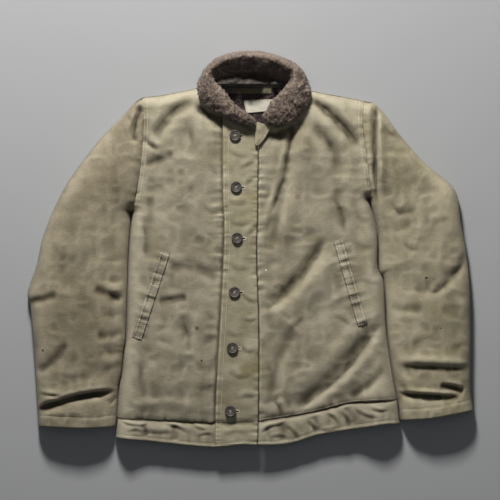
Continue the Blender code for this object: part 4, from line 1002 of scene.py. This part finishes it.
def welt_height(side, front_height):
    bottom, top, left, right = welt_outlines[side]
    middle = straight((bottom[0] + bottom[1]) / 2, (top[0] + top[1]) / 2)
    slit = left if side == "left" else right

    def height(x, y):
        gap, share, _ = measure(middle, x, y)
        to_long = np.minimum(measure(left, x, y)[0], measure(right, x, y)[0])
        to_end = np.minimum(measure(bottom, x, y)[0], measure(top, x, y)[0])
        passed = share * WELT_LENGTH
        ridges = 0.9 * uneven(passed, 0.1 * gap, 7, 71) + 0.5 * uneven(passed, 0.3 * gap, 4, 72)
        rounding = 2.2 * (1 - lift(np.minimum(to_long, to_end), 3.2))
        rows = 0.6 * bell(to_long - 3.2, 1.2) + 0.6 * bell(to_end - 4, 1.2)
        gape = 1.1 * bell(measure(slit, x, y)[0] - 6.2, 2.2) * lift(to_end, 12)
        return front_height(x, y) + WELT_RISE + ridges - rounding - rows - gape
    return height


for side, pocket, front_height in (("left", LEFT_POCKET, left_front_height),
                                   ("right", RIGHT_POCKET, right_front_height)):
    top_end, bottom_end = Vector(pocket[0]), Vector(pocket[1])
    across = Vector((top_end.y - bottom_end.y, bottom_end.x - top_end.x)).normalized() * WELT_WIDTH / 2
    welt_outlines[side] = (
        straight(bottom_end - across, bottom_end + across),
        straight(top_end - across, top_end + across),
        straight(bottom_end - across, top_end - across),
        straight(bottom_end + across, top_end + across),
    )
    welt = cut_panel(f"{side}_pocket_welt", welt_outlines[side], shares(WELT_WIDTH, 1.3),
                     shares(WELT_LENGTH, 1.5),
                     welt_height(side, front_height), WELT_WALL)
    lay(welt, f"pocket_welt_{side}", welt_cloth)


# Inside the neck shows the body's pile lining, with a tape of the cloth over the back neck seam.
# A blank woven label is sewn to the lining below it.

LINING_TOP = 11.5
LINING_WALL = 7.0
TAPE_TOP = 13.9
TAPE_WALL = 1.5
LABEL_TOP = 13.3
LABEL_WALL = 0.9


def random_places(low, high, count, seed):
    return np.random.default_rng(seed).uniform(low, high, (count, len(low)))


def repeated(name, shape, frames, finish, tones=None):
    """One small mesh repeated: each frame is a 3 x 4 matrix of its axes and place, in metres."""
    points = np.array([vert.co[:] for vert in shape.verts])
    faces = np.array([[vert.index for vert in face.verts] for face in shape.faces])
    count = len(frames)
    placed = np.einsum("nij,pj->npi", frames[:, :, :3], points) + frames[:, None, :, 3]
    corners = (faces[None] + (np.arange(count) * len(points))[:, None, None]).reshape(-1, faces.shape[1])
    data = bpy.data.meshes.new(name)
    data.vertices.add(count * len(points))
    data.vertices.foreach_set("co", placed.ravel())
    data.loops.add(corners.size)
    data.loops.foreach_set("vertex_index", corners.ravel())
    data.polygons.add(len(corners))
    data.polygons.foreach_set("loop_start", np.arange(len(corners)) * faces.shape[1])
    data.update(calc_edges=True)
    if tones is not None:
        tone = data.attributes.new("tone", "FLOAT", "POINT")
        tone.data.foreach_set("value", np.repeat(tones, len(points)))
        tip = data.attributes.new("tip", "FLOAT", "POINT")
        tip.data.foreach_set("value", np.tile(np.clip(points[:, 2], 0, 1), count))
    data.shade_smooth()
    data.materials.append(finish)
    return add_piece(name, data)


def lock_shape():
    """One lock of pile, a thin point that stands on its three-sided foot."""
    lock = bmesh.new()
    bmesh.ops.create_cone(lock, cap_ends=False, segments=3, radius1=0.5, radius2=0.0, depth=1)
    bmesh.ops.translate(lock, vec=(0, 0, 0.5), verts=lock.verts[:])
    bmesh.ops.remove_doubles(lock, verts=lock.verts[:], dist=0.0001)
    bmesh.ops.triangulate(lock, faces=lock.faces[:])
    lock.verts.index_update()
    return lock


def lock_frames(places, normals, length, width, lean, seed):
    """Matrices of locks that stand on places along their normals and lean over at random."""
    chance = np.random.default_rng(seed)
    count = len(places)
    upward = normals + lean * chance.normal(0, 1, (count, 3))
    upward /= np.linalg.norm(upward, axis=1)[:, None]
    side = np.cross(upward, chance.normal(0, 1, (count, 3)))
    side /= np.linalg.norm(side, axis=1)[:, None]
    other = np.cross(upward, side)
    tall = length * chance.uniform(0.6, 1.3, count)[:, None]
    wide = width * chance.uniform(0.7, 1.3, count)[:, None]
    return np.stack((side * wide, other * wide, upward * tall, places), axis=2)


def pile_finish(name, deep_shade, middle, tips):
    """Wool pile: painted shade dark between its locks, lighter at their tips (partly the wool's own tips,
    partly painted highlight), and each lock of its own tone.
    """
    made, tree, shader, place = new_finish(name, 0.95, Specular_IOR_Level=0.15, Sheen_Weight=0.35,
                                           Sheen_Roughness=0.4)
    tone, tip = tree.nodes.new("ShaderNodeAttribute"), tree.nodes.new("ShaderNodeAttribute")
    tone.attribute_name, tip.attribute_name = "tone", "tip"
    curls = mottle(tree, place, 0.0045, 3, 0.32, 0.68, 0.65)
    patches = mottle(tree, place, 0.03, 3, 0.3, 0.7)
    # Tips and the collar's raised curls go lighter and the depths darker: painted highlight and shade
    raised = maths(tree, "ADD", maths(tree, "MULTIPLY", tip.outputs["Fac"], 0.55),
                   maths(tree, "MULTIPLY", tone.outputs["Fac"], 0.45), clamp=True)
    shade = maths(tree, "ADD", maths(tree, "MULTIPLY", raised, 0.6), maths(tree, "MULTIPLY", curls, 0.28))
    shade = maths(tree, "ADD", shade, maths(tree, "MULTIPLY", patches, 0.14), clamp=True)
    body = blend(tree, maths(tree, "MULTIPLY", shade, 2, clamp=True), (*deep_shade, 1), (*middle, 1))
    upper = maths(tree, "SUBTRACT", maths(tree, "MULTIPLY", shade, 2), 1, clamp=True)
    tree.links.new(blend(tree, upper, body, (*tips, 1)), shader.inputs["Base Color"])
    relief = tree.nodes.new("ShaderNodeBump")
    relief.inputs["Strength"].default_value = 0.6
    relief.inputs["Distance"].default_value = 0.001
    tree.links.new(curls, relief.inputs["Height"])
    tree.links.new(relief.outputs["Normal"], shader.inputs["Normal"])
    return made


def knit_height(x, y):
    return LINING_TOP + 0.9 * uneven(x, y, 7, 81) + 0.6 * uneven(x, y, 3.4, 82)


lining_pile = pile_finish("lining_pile", (0.030, 0.022, 0.022), (0.115, 0.085, 0.082), (0.230, 0.180, 0.165))
lining_outline = (straight((-62, 236), (60, 232)), straight((-66, 317), (70, 317)),
                  straight((-62, 236), (-66, 317)), straight((60, 232), (70, 317)))
neck_lining = cut_panel("neck_lining_pile", lining_outline, shares(130, 2), shares(80, 2), knit_height,
                        LINING_WALL)
lay(neck_lining, "neck_lining", lining_pile)
foot = random_places((-60, 238), (64, 303), 5200, 83)
foot = np.column_stack((foot, knit_height(foot[:, 0], foot[:, 1]) - 0.4)) * MM
lining_locks = repeated("neck_lining_locks", lock_shape(),
                        lock_frames(foot, np.tile((0.0, 0.0, 1.0), (len(foot), 1)), 2.6 * MM, 1.3 * MM,
                                    0.55, 84),
                        lining_pile, np.random.default_rng(85).uniform(0, 1, len(foot)))


def tape_height(x, y):
    to_edge = np.minimum(y - 305, 317 - y)
    return (TAPE_TOP + 0.25 * uneven(x, y, 9, 86)
            - 0.5 * (1 - lift(to_edge, 1.5)) - 0.25 * bell(to_edge - 2.4, 0.7))


tape_outline = (straight((-47, 305), (42, 305)), straight((-47, 317), (42, 317)),
                straight((-47, 305), (-47, 317)), straight((42, 305), (42, 317)))
neck_tape = cut_panel("neck_tape_strip", tape_outline, shares(89, 1.5), shares(12, 0.7), tape_height,
                      TAPE_WALL)
# The tape's cloth is much darker than the body's: painted shade under the back of the collar
shaded_tape_cloth = jungle_cloth("shaded_tape_cloth", (0.105, 0.088, 0.052), (0.240, 0.205, 0.130), (0.05, 0.04, 0.025),
                          (0.12, 0.09, 0.05), 0.3)
lay(neck_tape, "neck_tape", shaded_tape_cloth)

label_outline = (straight((-7, 267), (36, 271)), straight((-12.5, 292), (49, 294)),
                 straight((-7, 267), (-12.5, 292)), straight((36, 271), (49, 294)))


def label_height(x, y):
    to_edge = np.min([measure(line, x, y)[0] for line in label_outline], axis=0)
    return LABEL_TOP + 0.35 * uneven(x, y, 14, 87) - 0.3 * bell(to_edge - 2, 0.6) + 0.25 * (to_edge < 2)


label_cotton = jungle_cloth("label_cotton", (0.62, 0.57, 0.44), (0.80, 0.76, 0.62), (0.42, 0.36, 0.25),
                            (0.55, 0.46, 0.30), 0.35)
neck_label = cut_panel("neck_label_cloth", label_outline, shares(55, 1.1), shares(25, 1.0), label_height,
                       LABEL_WALL)
lay(neck_label, "neck_label", label_cotton)


# The collar is a stand and a fall of wool pile, rolled over itself all round the neck.
# Its form is taken from the collar's solid, made even, drawn into curls and set with short locks.

LOCK_COUNT = 17000
LOCK_LENGTH, LOCK_WIDTH, LOCK_LEAN = 3.6, 1.7, 0.7
PILE_GRAIN = 1.9
PILE_DEPTH = 0.8
PILE_STEPS = ((11, 1.3), (5.5, 1.1), (2.9, 0.7))


def uneven_solid(places, size, seed):
    """Smooth random values from -1 to 1 in space, in clumps of the given size."""
    table = np.random.default_rng(seed).uniform(-1, 1, (64, 64, 64))
    cell = places / size
    base = np.floor(cell).astype(int)
    part = cell - base
    part = part * part * (3 - 2 * part)
    total = np.zeros(len(places))
    for corner in np.ndindex(2, 2, 2):
        share = np.prod(np.where(np.array(corner) == 1, part, 1 - part), axis=1)
        i, j, k = ((base + corner) % 64).T
        total += share * table[i, j, k]
    return total


def read_mesh(data):
    """Places and outward directions of a mesh's points."""
    places, directions = np.zeros(len(data.vertices) * 3), np.zeros(len(data.vertices) * 3)
    data.vertices.foreach_get("co", places)
    data.vertex_normals.foreach_get("vector", directions)
    return places.reshape(-1, 3), directions.reshape(-1, 3)


def soften(mesh, times):
    """Draw every point of a mesh toward its neighbours, a number of times."""
    for _ in range(times):
        bmesh.ops.smooth_vert(mesh, verts=mesh.verts[:], factor=0.5, use_axis_x=True, use_axis_y=True,
                              use_axis_z=True)


pressed = bmesh.new()
pressed.from_mesh(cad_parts["collar"].data)
bmesh.ops.remove_doubles(pressed, verts=pressed.verts[:], dist=0.00001)
bmesh.ops.subdivide_edges(pressed, edges=pressed.edges[:], cuts=2, use_grid_fill=True)
soften(pressed, 6)
pressed_mesh = bpy.data.meshes.new("collar_form")
pressed.to_mesh(pressed_mesh)
pressed.free()
form = bpy.data.objects.new("collar_form", pressed_mesh)
scene.collection.objects.link(form)
even = form.modifiers.new("even", "REMESH")
even.mode = "VOXEL"
even.voxel_size = PILE_GRAIN * MM
collar_mesh = bpy.data.meshes.new_from_object(form.evaluated_get(bpy.context.evaluated_depsgraph_get()))
bpy.data.objects.remove(form, do_unlink=True)
rounded = bmesh.new()
rounded.from_mesh(collar_mesh)
soften(rounded, 4)
rounded.normal_update()
for vert in rounded.verts:
    vert.co += vert.normal * PILE_DEPTH * MM
rounded.to_mesh(collar_mesh)
rounded.free()

skin, outward = read_mesh(collar_mesh)
curl = sum(depth * uneven_solid(skin / MM, size, 100 + number)
           for number, (size, depth) in enumerate(PILE_STEPS))
free = ease(1.0, 5.0, skin[:, 2] / MM)
curled = skin + outward * (curl * free * MM)[:, None]
collar_mesh.vertices.foreach_set("co", curled.ravel())
# Tone and tip follow the curls' height, so the pile's hollows take painted shade and its crowns painted
# highlight
tone = collar_mesh.attributes.new("tone", "FLOAT", "POINT")
tone.data.foreach_set("value", np.clip(0.45 + 0.22 * curl, 0, 1))
tip = collar_mesh.attributes.new("tip", "FLOAT", "POINT")
tip.data.foreach_set("value", np.clip(0.30 + 0.20 * curl, 0, 1))
collar_mesh.update()
collar_mesh.shade_smooth()
collar_pile = add_piece("collar_pile", collar_mesh)
wool_pile = pile_finish("wool_pile", (0.028, 0.020, 0.018), (0.225, 0.172, 0.138), (0.600, 0.490, 0.400))
collar_mesh.materials.clear()
collar_mesh.materials.append(wool_pile)

# The pile is painted dark low inside the neck, where the stand meets the neckline: painted shade in the
# neck's hollow
NECK_MIDDLE = (0, 285)
NECK_HALF_SIZE = (85, 56)
SHADED_WITHIN, UNSHADED_BEYOND = 0.98, 1.2
SHADED_BELOW, UNSHADED_ABOVE = 34, 47
pile_tree = wool_pile.node_tree
pile_shader = pile_tree.nodes["Principled BSDF"]
pile_place = pile_tree.nodes.new("ShaderNodeTexCoord").outputs["Object"]
in_neck = pile_tree.nodes.new("ShaderNodeMapping")
in_neck.vector_type = "TEXTURE"
in_neck.inputs["Location"].default_value = (NECK_MIDDLE[0] * MM, NECK_MIDDLE[1] * MM, 0)
in_neck.inputs["Scale"].default_value = (NECK_HALF_SIZE[0] * MM, NECK_HALF_SIZE[1] * MM, 1)
pile_tree.links.new(pile_place, in_neck.inputs["Vector"])
from_middle = pile_tree.nodes.new("ShaderNodeVectorMath")
from_middle.operation = "LENGTH"
pile_tree.links.new(in_neck.outputs["Vector"], from_middle.inputs[0])
height_of_pile = pile_tree.nodes.new("ShaderNodeSeparateXYZ")
pile_tree.links.new(pile_place, height_of_pile.inputs["Vector"])
neck_shade = 1
for value, unshaded, shaded in ((from_middle.outputs["Value"], UNSHADED_BEYOND, SHADED_WITHIN),
                             (height_of_pile.outputs["Z"], UNSHADED_ABOVE * MM, SHADED_BELOW * MM)):
    neck_shade = maths(pile_tree, "MULTIPLY", spread(pile_tree, value, unshaded, shaded), neck_shade)
unshaded_pile = pile_shader.inputs["Base Color"].links[0].from_socket
# Painted shade: inside this mask the pile blends toward near-black
neck_shade = maths(pile_tree, "MULTIPLY", neck_shade, 0.85)
pile_tree.links.new(blend(pile_tree, neck_shade, unshaded_pile, (0.030, 0.024, 0.022, 1)),
                    pile_shader.inputs["Base Color"])
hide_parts("collar")

skin, outward = read_mesh(collar_mesh)
chosen = np.random.default_rng(110).permutation(len(skin))[:LOCK_COUNT]
chosen = chosen[(outward[chosen, 2] > -0.35) & (skin[chosen, 2] > 5 * MM)]
locks = repeated("collar_locks", lock_shape(),
                 lock_frames(skin[chosen] - 0.5 * MM * outward[chosen], outward[chosen],
                             LOCK_LENGTH * MM, LOCK_WIDTH * MM, LOCK_LEAN, 111),
                 wool_pile, np.random.default_rng(112).uniform(0, 1, len(chosen)))


# The throat tab is a pointed strap of doubled cloth, sewn under the collar's right front.
# It lies across the fly strip with its free end lifted.

TAB_WALL = 3.0
TAB_RISE = 4.0
TAB_LIFT = 3.0


tab_outline = (
    joined(((9, 204), (13, 201), (19, 204))),
    straight((13, 249), (44, 238)),
    joined(((9, 204), (9, 215), (11, 234), (13, 249))),
    joined(((19, 204), (29, 216), (36, 228), (44, 238))),
)


def tab_height(x, y):
    to_edge = np.min([measure(line, x, y)[0] for line in (tab_outline[0], tab_outline[2], tab_outline[3])],
                     axis=0)
    smooth_top = upper_height(x, y, FRONT_FOLDS, lambda x, y: 0 * x) + FLY_RISE
    rounding = 1.8 * (1 - lift(to_edge, 3)) + 0.6 * bell(to_edge - 3.6, 1.1)
    return smooth_top + TAB_RISE + TAB_LIFT * ease(232, 203, y) - rounding + 0.7 * uneven(x, y, 9, 121)


throat_tab = cut_panel("throat_tab_strap", tab_outline, shares(24, 1.1), shares(46, 1.1), tab_height,
                       TAB_WALL)
lay(throat_tab, "throat_tab", fly_cloth)


# All topstitching is the same pale cotton thread, in short stitches that sink a little into the cloth.
# Two rows hold each armhole, shoulder and the fly strip's free edge, and single rows the other seams.

STITCH_LENGTH = 2.9
STITCH_PITCH = 4.3
THREAD_RADIUS = 0.8

stitch = bmesh.new()
bmesh.ops.create_uvsphere(stitch, u_segments=6, v_segments=4, radius=1)
bmesh.ops.triangulate(stitch, faces=stitch.faces[:])
stitch.verts.index_update()

thread, thread_tree, thread_shader, thread_place = new_finish("pale_thread", 0.7, Sheen_Weight=0.2)
worn_thread = mottle(thread_tree, thread_place, 0.02, 3, 0.3, 0.7)
thread_tree.links.new(blend(thread_tree, worn_thread, (0.50, 0.44, 0.30, 1), (0.86, 0.80, 0.62, 1)),
                      thread_shader.inputs["Base Color"])


def offset_line(line, distance):
    """A line moved sideways: to its left by a distance, or to its right if under 0."""
    along = np.gradient(line, axis=0)
    along /= np.linalg.norm(along, axis=1)[:, None]
    return line + distance * np.column_stack((-along[:, 1], along[:, 0]))


def stitch_frames(line, height, start=0.0, end=1.0, pitch=STITCH_PITCH):
    """Matrices of stitches that follow a line over the cloth's surface."""
    length = np.hypot(*np.diff(line, axis=0).T).sum()
    count = max(2, int((end - start) * length / pitch))
    share = start + (np.arange(count) + 0.5) / count * (end - start)
    reach = 0.5 * STITCH_LENGTH / length
    back, ahead = at(line, np.clip(share - reach, 0, 1)), at(line, np.clip(share + reach, 0, 1))
    back = np.column_stack((back, height(back[:, 0], back[:, 1])))
    ahead = np.column_stack((ahead, height(ahead[:, 0], ahead[:, 1])))
    middle = at(line, share)
    top = np.maximum(height(middle[:, 0], middle[:, 1]), (back[:, 2] + ahead[:, 2]) / 2)
    middle = np.column_stack((middle, top + 0.05))
    along = ahead - back
    along /= np.linalg.norm(along, axis=1)[:, None]
    side = np.cross((0.0, 0.0, 1.0), along)
    side /= np.linalg.norm(side, axis=1)[:, None]
    up = np.cross(along, side)
    half = STITCH_LENGTH / 2
    return np.stack((along * half, side * THREAD_RADIUS, up * THREAD_RADIUS * 0.8, middle), axis=2) * MM


def sewn(name, *rows):
    piece = repeated(name, stitch, np.concatenate(rows), thread)
    return piece


ARMHOLE_ROWS, SHOULDER_ROWS = (2, 8), (5, 10)
SHOULDER_LINES = (joined(LEFT_SHOULDER), joined(RIGHT_SHOULDER))
for name, lines, distances, start, end in (
        ("armhole_stitching", ARMHOLE_LINES, ARMHOLE_ROWS, 0.12, 0.99),
        ("shoulder_stitching", SHOULDER_LINES, SHOULDER_ROWS, 0.05, 0.92)):
    seam_rows = []
    for line, side, height in zip(lines, (-1, 1), (left_front_height, right_front_height)):
        for distance in distances:
            seam_rows.append(stitch_frames(offset_line(line, side * distance), height, start, end))
    sewn(name, *seam_rows)

fly_rows = [stitch_frames(offset_line(FLY_EDGE_LINE, -distance), fly_height, 0.01, 0.93)
            for distance in FLY_ROWS]
fly_rows.append(stitch_frames(offset_line(FLY_SEAM_LINE, -4), right_front_height, 0.03, 0.93))
fly_rows.append(stitch_frames(offset_line(straight(FLY_EDGE[0], FLY_SEAM[0]), 3.5), fly_height, 0.05, 0.95))
sewn("fly_stitching", *fly_rows)

band_rows = [
    stitch_frames(offset_line(joined(left_edge_cut), ROLL_DEPTH), left_band_height, 0.03, 0.80),
    stitch_frames(offset_line(right_band_outline[0], ROLL_DEPTH), right_band_height, 0.02, 0.98),
    stitch_frames(offset_line(right_front_outline[0], 3), right_front_height, 0.02, 0.98),
    stitch_frames(offset_line(joined(RIGHT_SIDE_SEAM), 5), right_front_height, 0.02, 0.30),
]
sewn("band_stitching", *band_rows)

cuff_rows = [
    stitch_frames(offset_line(LEFT_CUFF_LINE, CUFF_HEM_DEPTH), left_sleeve_height, 0.03, 0.97),
    stitch_frames(offset_line(RIGHT_CUFF_LINE, CUFF_HEM_DEPTH), right_sleeve_height, 0.03, 0.97),
]
sewn("cuff_stitching", *cuff_rows)

welt_rows = []
for side, front_height in (("left", left_front_height), ("right", right_front_height)):
    bottom, top, left, right = welt_outlines[side]
    height = welt_height(side, front_height)
    for line, inset in ((left, -3.2), (right, 3.2), (bottom, 4), (top, -4)):
        welt_rows.append(stitch_frames(offset_line(line, inset), height, 0.03 if len(line) == 2 else 0, 0.97))
sewn("welt_stitching", *welt_rows)

tab_rows = [stitch_frames(offset_line(tab_outline[2], -3.6), tab_height, 0.1, 0.95),
            stitch_frames(offset_line(tab_outline[3], 3.6), tab_height, 0.1, 0.95)]
sewn("tab_stitching", *tab_rows)

label_rows = [stitch_frames(offset_line(label_outline[side], inset), label_height, 0.03, 0.97)
              for side, inset in ((0, 1.6), (1, -1.6), (2, -1.6))]
sewn("label_stitching", *label_rows)


# Six plain dark buttons of moulded horn-like material, with a raised rim, a ring inside it and four holes
# drawn as flat discs of painted shade.
# Each is sewn through the fly strip with pale thread, and its buttonhole runs out to the right of it.

BUTTON_TURN = 17
HOLE_ASIDE, HOLE_RADIUS, HOLE_RISE = 2.1, 0.95, 2.34
BUTTON_PROFILE = ((0, 0), (9.6, 0), (10.6, 0.5), (11.0, 1.5), (10.8, 2.7), (10.2, 3.6), (9.5, 3.9),
                  (8.8, 3.6), (8.2, 2.9), (7.6, 2.5), (6.9, 2.55), (6.5, 2.9), (6.1, 2.95), (5.7, 2.6),
                  (5.2, 2.3), (0, 2.2))

moulded, button_tree, button_shader, button_place = new_finish("moulded_button", Specular_IOR_Level=0.32)
clouds = mottle(button_tree, button_place, 0.007, 4, 0.3, 0.7)
scuffs = mottle(button_tree, button_place, 0.0012, 4, 0.35, 0.8, 0.7)
button_colour = blend(button_tree, clouds, (0.040, 0.036, 0.031, 1), (0.120, 0.105, 0.090, 1))
button_colour = blend(button_tree, maths(button_tree, "MULTIPLY", scuffs, 0.35), button_colour,
                      (0.26, 0.24, 0.21, 1))
button_tree.links.new(button_colour, button_shader.inputs["Base Color"])
button_tree.links.new(maths(button_tree, "ADD", maths(button_tree, "MULTIPLY", scuffs, 0.3), 0.44),
                      button_shader.inputs["Roughness"])

# Near-black painted shade, for the buttons' holes and the buttonholes' slits
painted_hole_shade, hole_tree, hole_shader, hole_place = new_finish("button_hole_shade", 0.8)
hole_tree.links.new(blend(hole_tree, mottle(hole_tree, hole_place, 0.002, 2, 0.3, 0.7),
                          (0.008, 0.007, 0.006, 1), (0.025, 0.022, 0.018, 1)),
                    hole_shader.inputs["Base Color"])

for number, (button_x, button_y) in enumerate(BUTTONS, 1):
    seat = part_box(f"button_{number}")[0][2] / MM
    disc = bmesh.new()
    rim = [disc.verts.new((radius, 0, rise)) for radius, rise in BUTTON_PROFILE]
    for first, second in zip(rim, rim[1:]):
        disc.edges.new((first, second))
    bmesh.ops.spin(disc, geom=disc.verts[:] + disc.edges[:], cent=(0, 0, 0), axis=(0, 0, 1),
                   angle=2 * pi, steps=40, use_merge=True)
    bmesh.ops.remove_doubles(disc, verts=disc.verts[:], dist=0.001)
    bmesh.ops.recalc_face_normals(disc, faces=disc.faces[:])
    # Each hole is a flat near-black disc on the button's face: painted shade, not a hole bored through
    for quarter in range(4):
        angle = quarter * pi / 2 + pi / 4
        spot = Matrix.Translation((HOLE_ASIDE * cos(angle), HOLE_ASIDE * sin(angle), HOLE_RISE))
        shade_disc = bmesh.ops.create_circle(disc, cap_ends=True, segments=12, radius=HOLE_RADIUS, matrix=spot)
        for face in {face for vert in shade_disc["verts"] for face in vert.link_faces}:
            face.material_index = 1
            if face.normal.z < 0:
                face.normal_flip()
    tilt = Matrix.Rotation(radians(BUTTON_TURN * number), 4, "Z")
    placed = Matrix.Diagonal((MM, MM, MM, 1)) @ Matrix.Translation((button_x, button_y, seat)) @ tilt
    bmesh.ops.transform(disc, matrix=placed, verts=disc.verts[:])
    data = bpy.data.meshes.new(f"fly_button_{number}")
    disc.to_mesh(data)
    disc.free()
    data.shade_smooth()
    data.set_sharp_from_angle(angle=radians(50))
    data.materials.append(moulded)
    data.materials.append(painted_hole_shade)
    button = add_piece(f"fly_button_{number}", data)
    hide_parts(f"button_{number}")


# Four strands of the pale thread cross each button, two from hole to hole on each side.
# They lie in the hollow of its face and stand for the thread that holds it to the fly.

SHANK_RISE = 2.75
SHANK_ASIDE, STRAND_ASIDE = 1.5, 0.45
shank_places = []
for number, (button_x, button_y) in enumerate(BUTTONS, 1):
    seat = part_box(f"button_{number}")[0][2] / MM
    turn = Matrix.Rotation(radians(BUTTON_TURN * number), 3, "Z")
    for side in (-1, 1):
        for strand in (-STRAND_ASIDE, STRAND_ASIDE):
            middle = turn @ Vector((side * SHANK_ASIDE + strand, 0, SHANK_RISE))
            long_axis, wide_axis = turn @ Vector((0, 2.4, 0)), turn @ Vector((0.5, 0, 0))
            place = middle + Vector((button_x, button_y, seat))
            shank_places.append(np.column_stack((long_axis, wide_axis, (0, 0, 0.5), place)) * MM)
button_thread = repeated("button_thread", stitch, np.array(shank_places), thread)


# The buttonholes run across the fly, their slots bound with close stitches of the same thread.
# Each reaches out past its button's right side, with a flat near-black sheet inside its binding as painted
# shade for the slit.

HOLE_LENGTH = 27
HOLE_WIDTH = 1.5
BINDING_PITCH = 1.1
BINDING_LENGTH = 2.6
HOLE_SHIFT_X, HOLE_SHIFT_Y = 4, -1
around = np.linspace(0, 2 * pi, 49)
binding_places = []
for button_x, button_y in BUTTONS:
    slot_x = button_x + HOLE_SHIFT_X + (HOLE_LENGTH / 2 - HOLE_WIDTH) * np.clip(1.6 * np.cos(around), -1, 1)
    slot_x += HOLE_WIDTH * np.cos(around)
    slot_y = button_y + HOLE_SHIFT_Y + (HOLE_WIDTH + BINDING_LENGTH / 2) * np.sin(around)
    slot_line = np.column_stack((slot_x, slot_y))
    length = np.hypot(*np.diff(slot_line, axis=0).T).sum()
    share = (np.arange(int(length / BINDING_PITCH)) + 0.5) / int(length / BINDING_PITCH)
    place = at(slot_line, share)
    ahead = at(slot_line, np.clip(share + 0.01, 0, 1)) - at(slot_line, np.clip(share - 0.01, 0, 1))
    ahead /= np.linalg.norm(ahead, axis=1)[:, None]
    zero = np.zeros(len(share))
    across = np.column_stack((-ahead[:, 1], ahead[:, 0], zero)) * BINDING_LENGTH / 2
    wide = np.column_stack((ahead, zero)) * BINDING_PITCH / 2
    up = np.tile((0.0, 0.0, 0.7), (len(share), 1))
    spot = np.column_stack((place, fly_height(place[:, 0], place[:, 1]) + 0.1))
    binding_places.append(np.stack((across, wide, up, spot), axis=2) * MM)
bindings = repeated("buttonhole_bindings", stitch, np.concatenate(binding_places), thread)

slot_shades = bmesh.new()
for button_x, button_y in BUTTONS:
    slot_x, slot_y = button_x + HOLE_SHIFT_X, button_y + HOLE_SHIFT_Y
    seat = float(fly_height(np.array([slot_x + HOLE_LENGTH / 2]), np.array([slot_y]))[0]) + 0.12
    bmesh.ops.create_circle(slot_shades, cap_ends=True, segments=16, radius=1,
                            matrix=Matrix.Translation((slot_x * MM, slot_y * MM, seat * MM))
                            @ Matrix.Diagonal((HOLE_LENGTH / 2 * MM, HOLE_WIDTH * MM, 1, 1)))
slot_data = bpy.data.meshes.new("buttonhole_shade_slots")
slot_shades.to_mesh(slot_data)
slot_shades.free()
slot_data.materials.append(painted_hole_shade)
slot_piece = add_piece("buttonhole_shade_slots", slot_data)
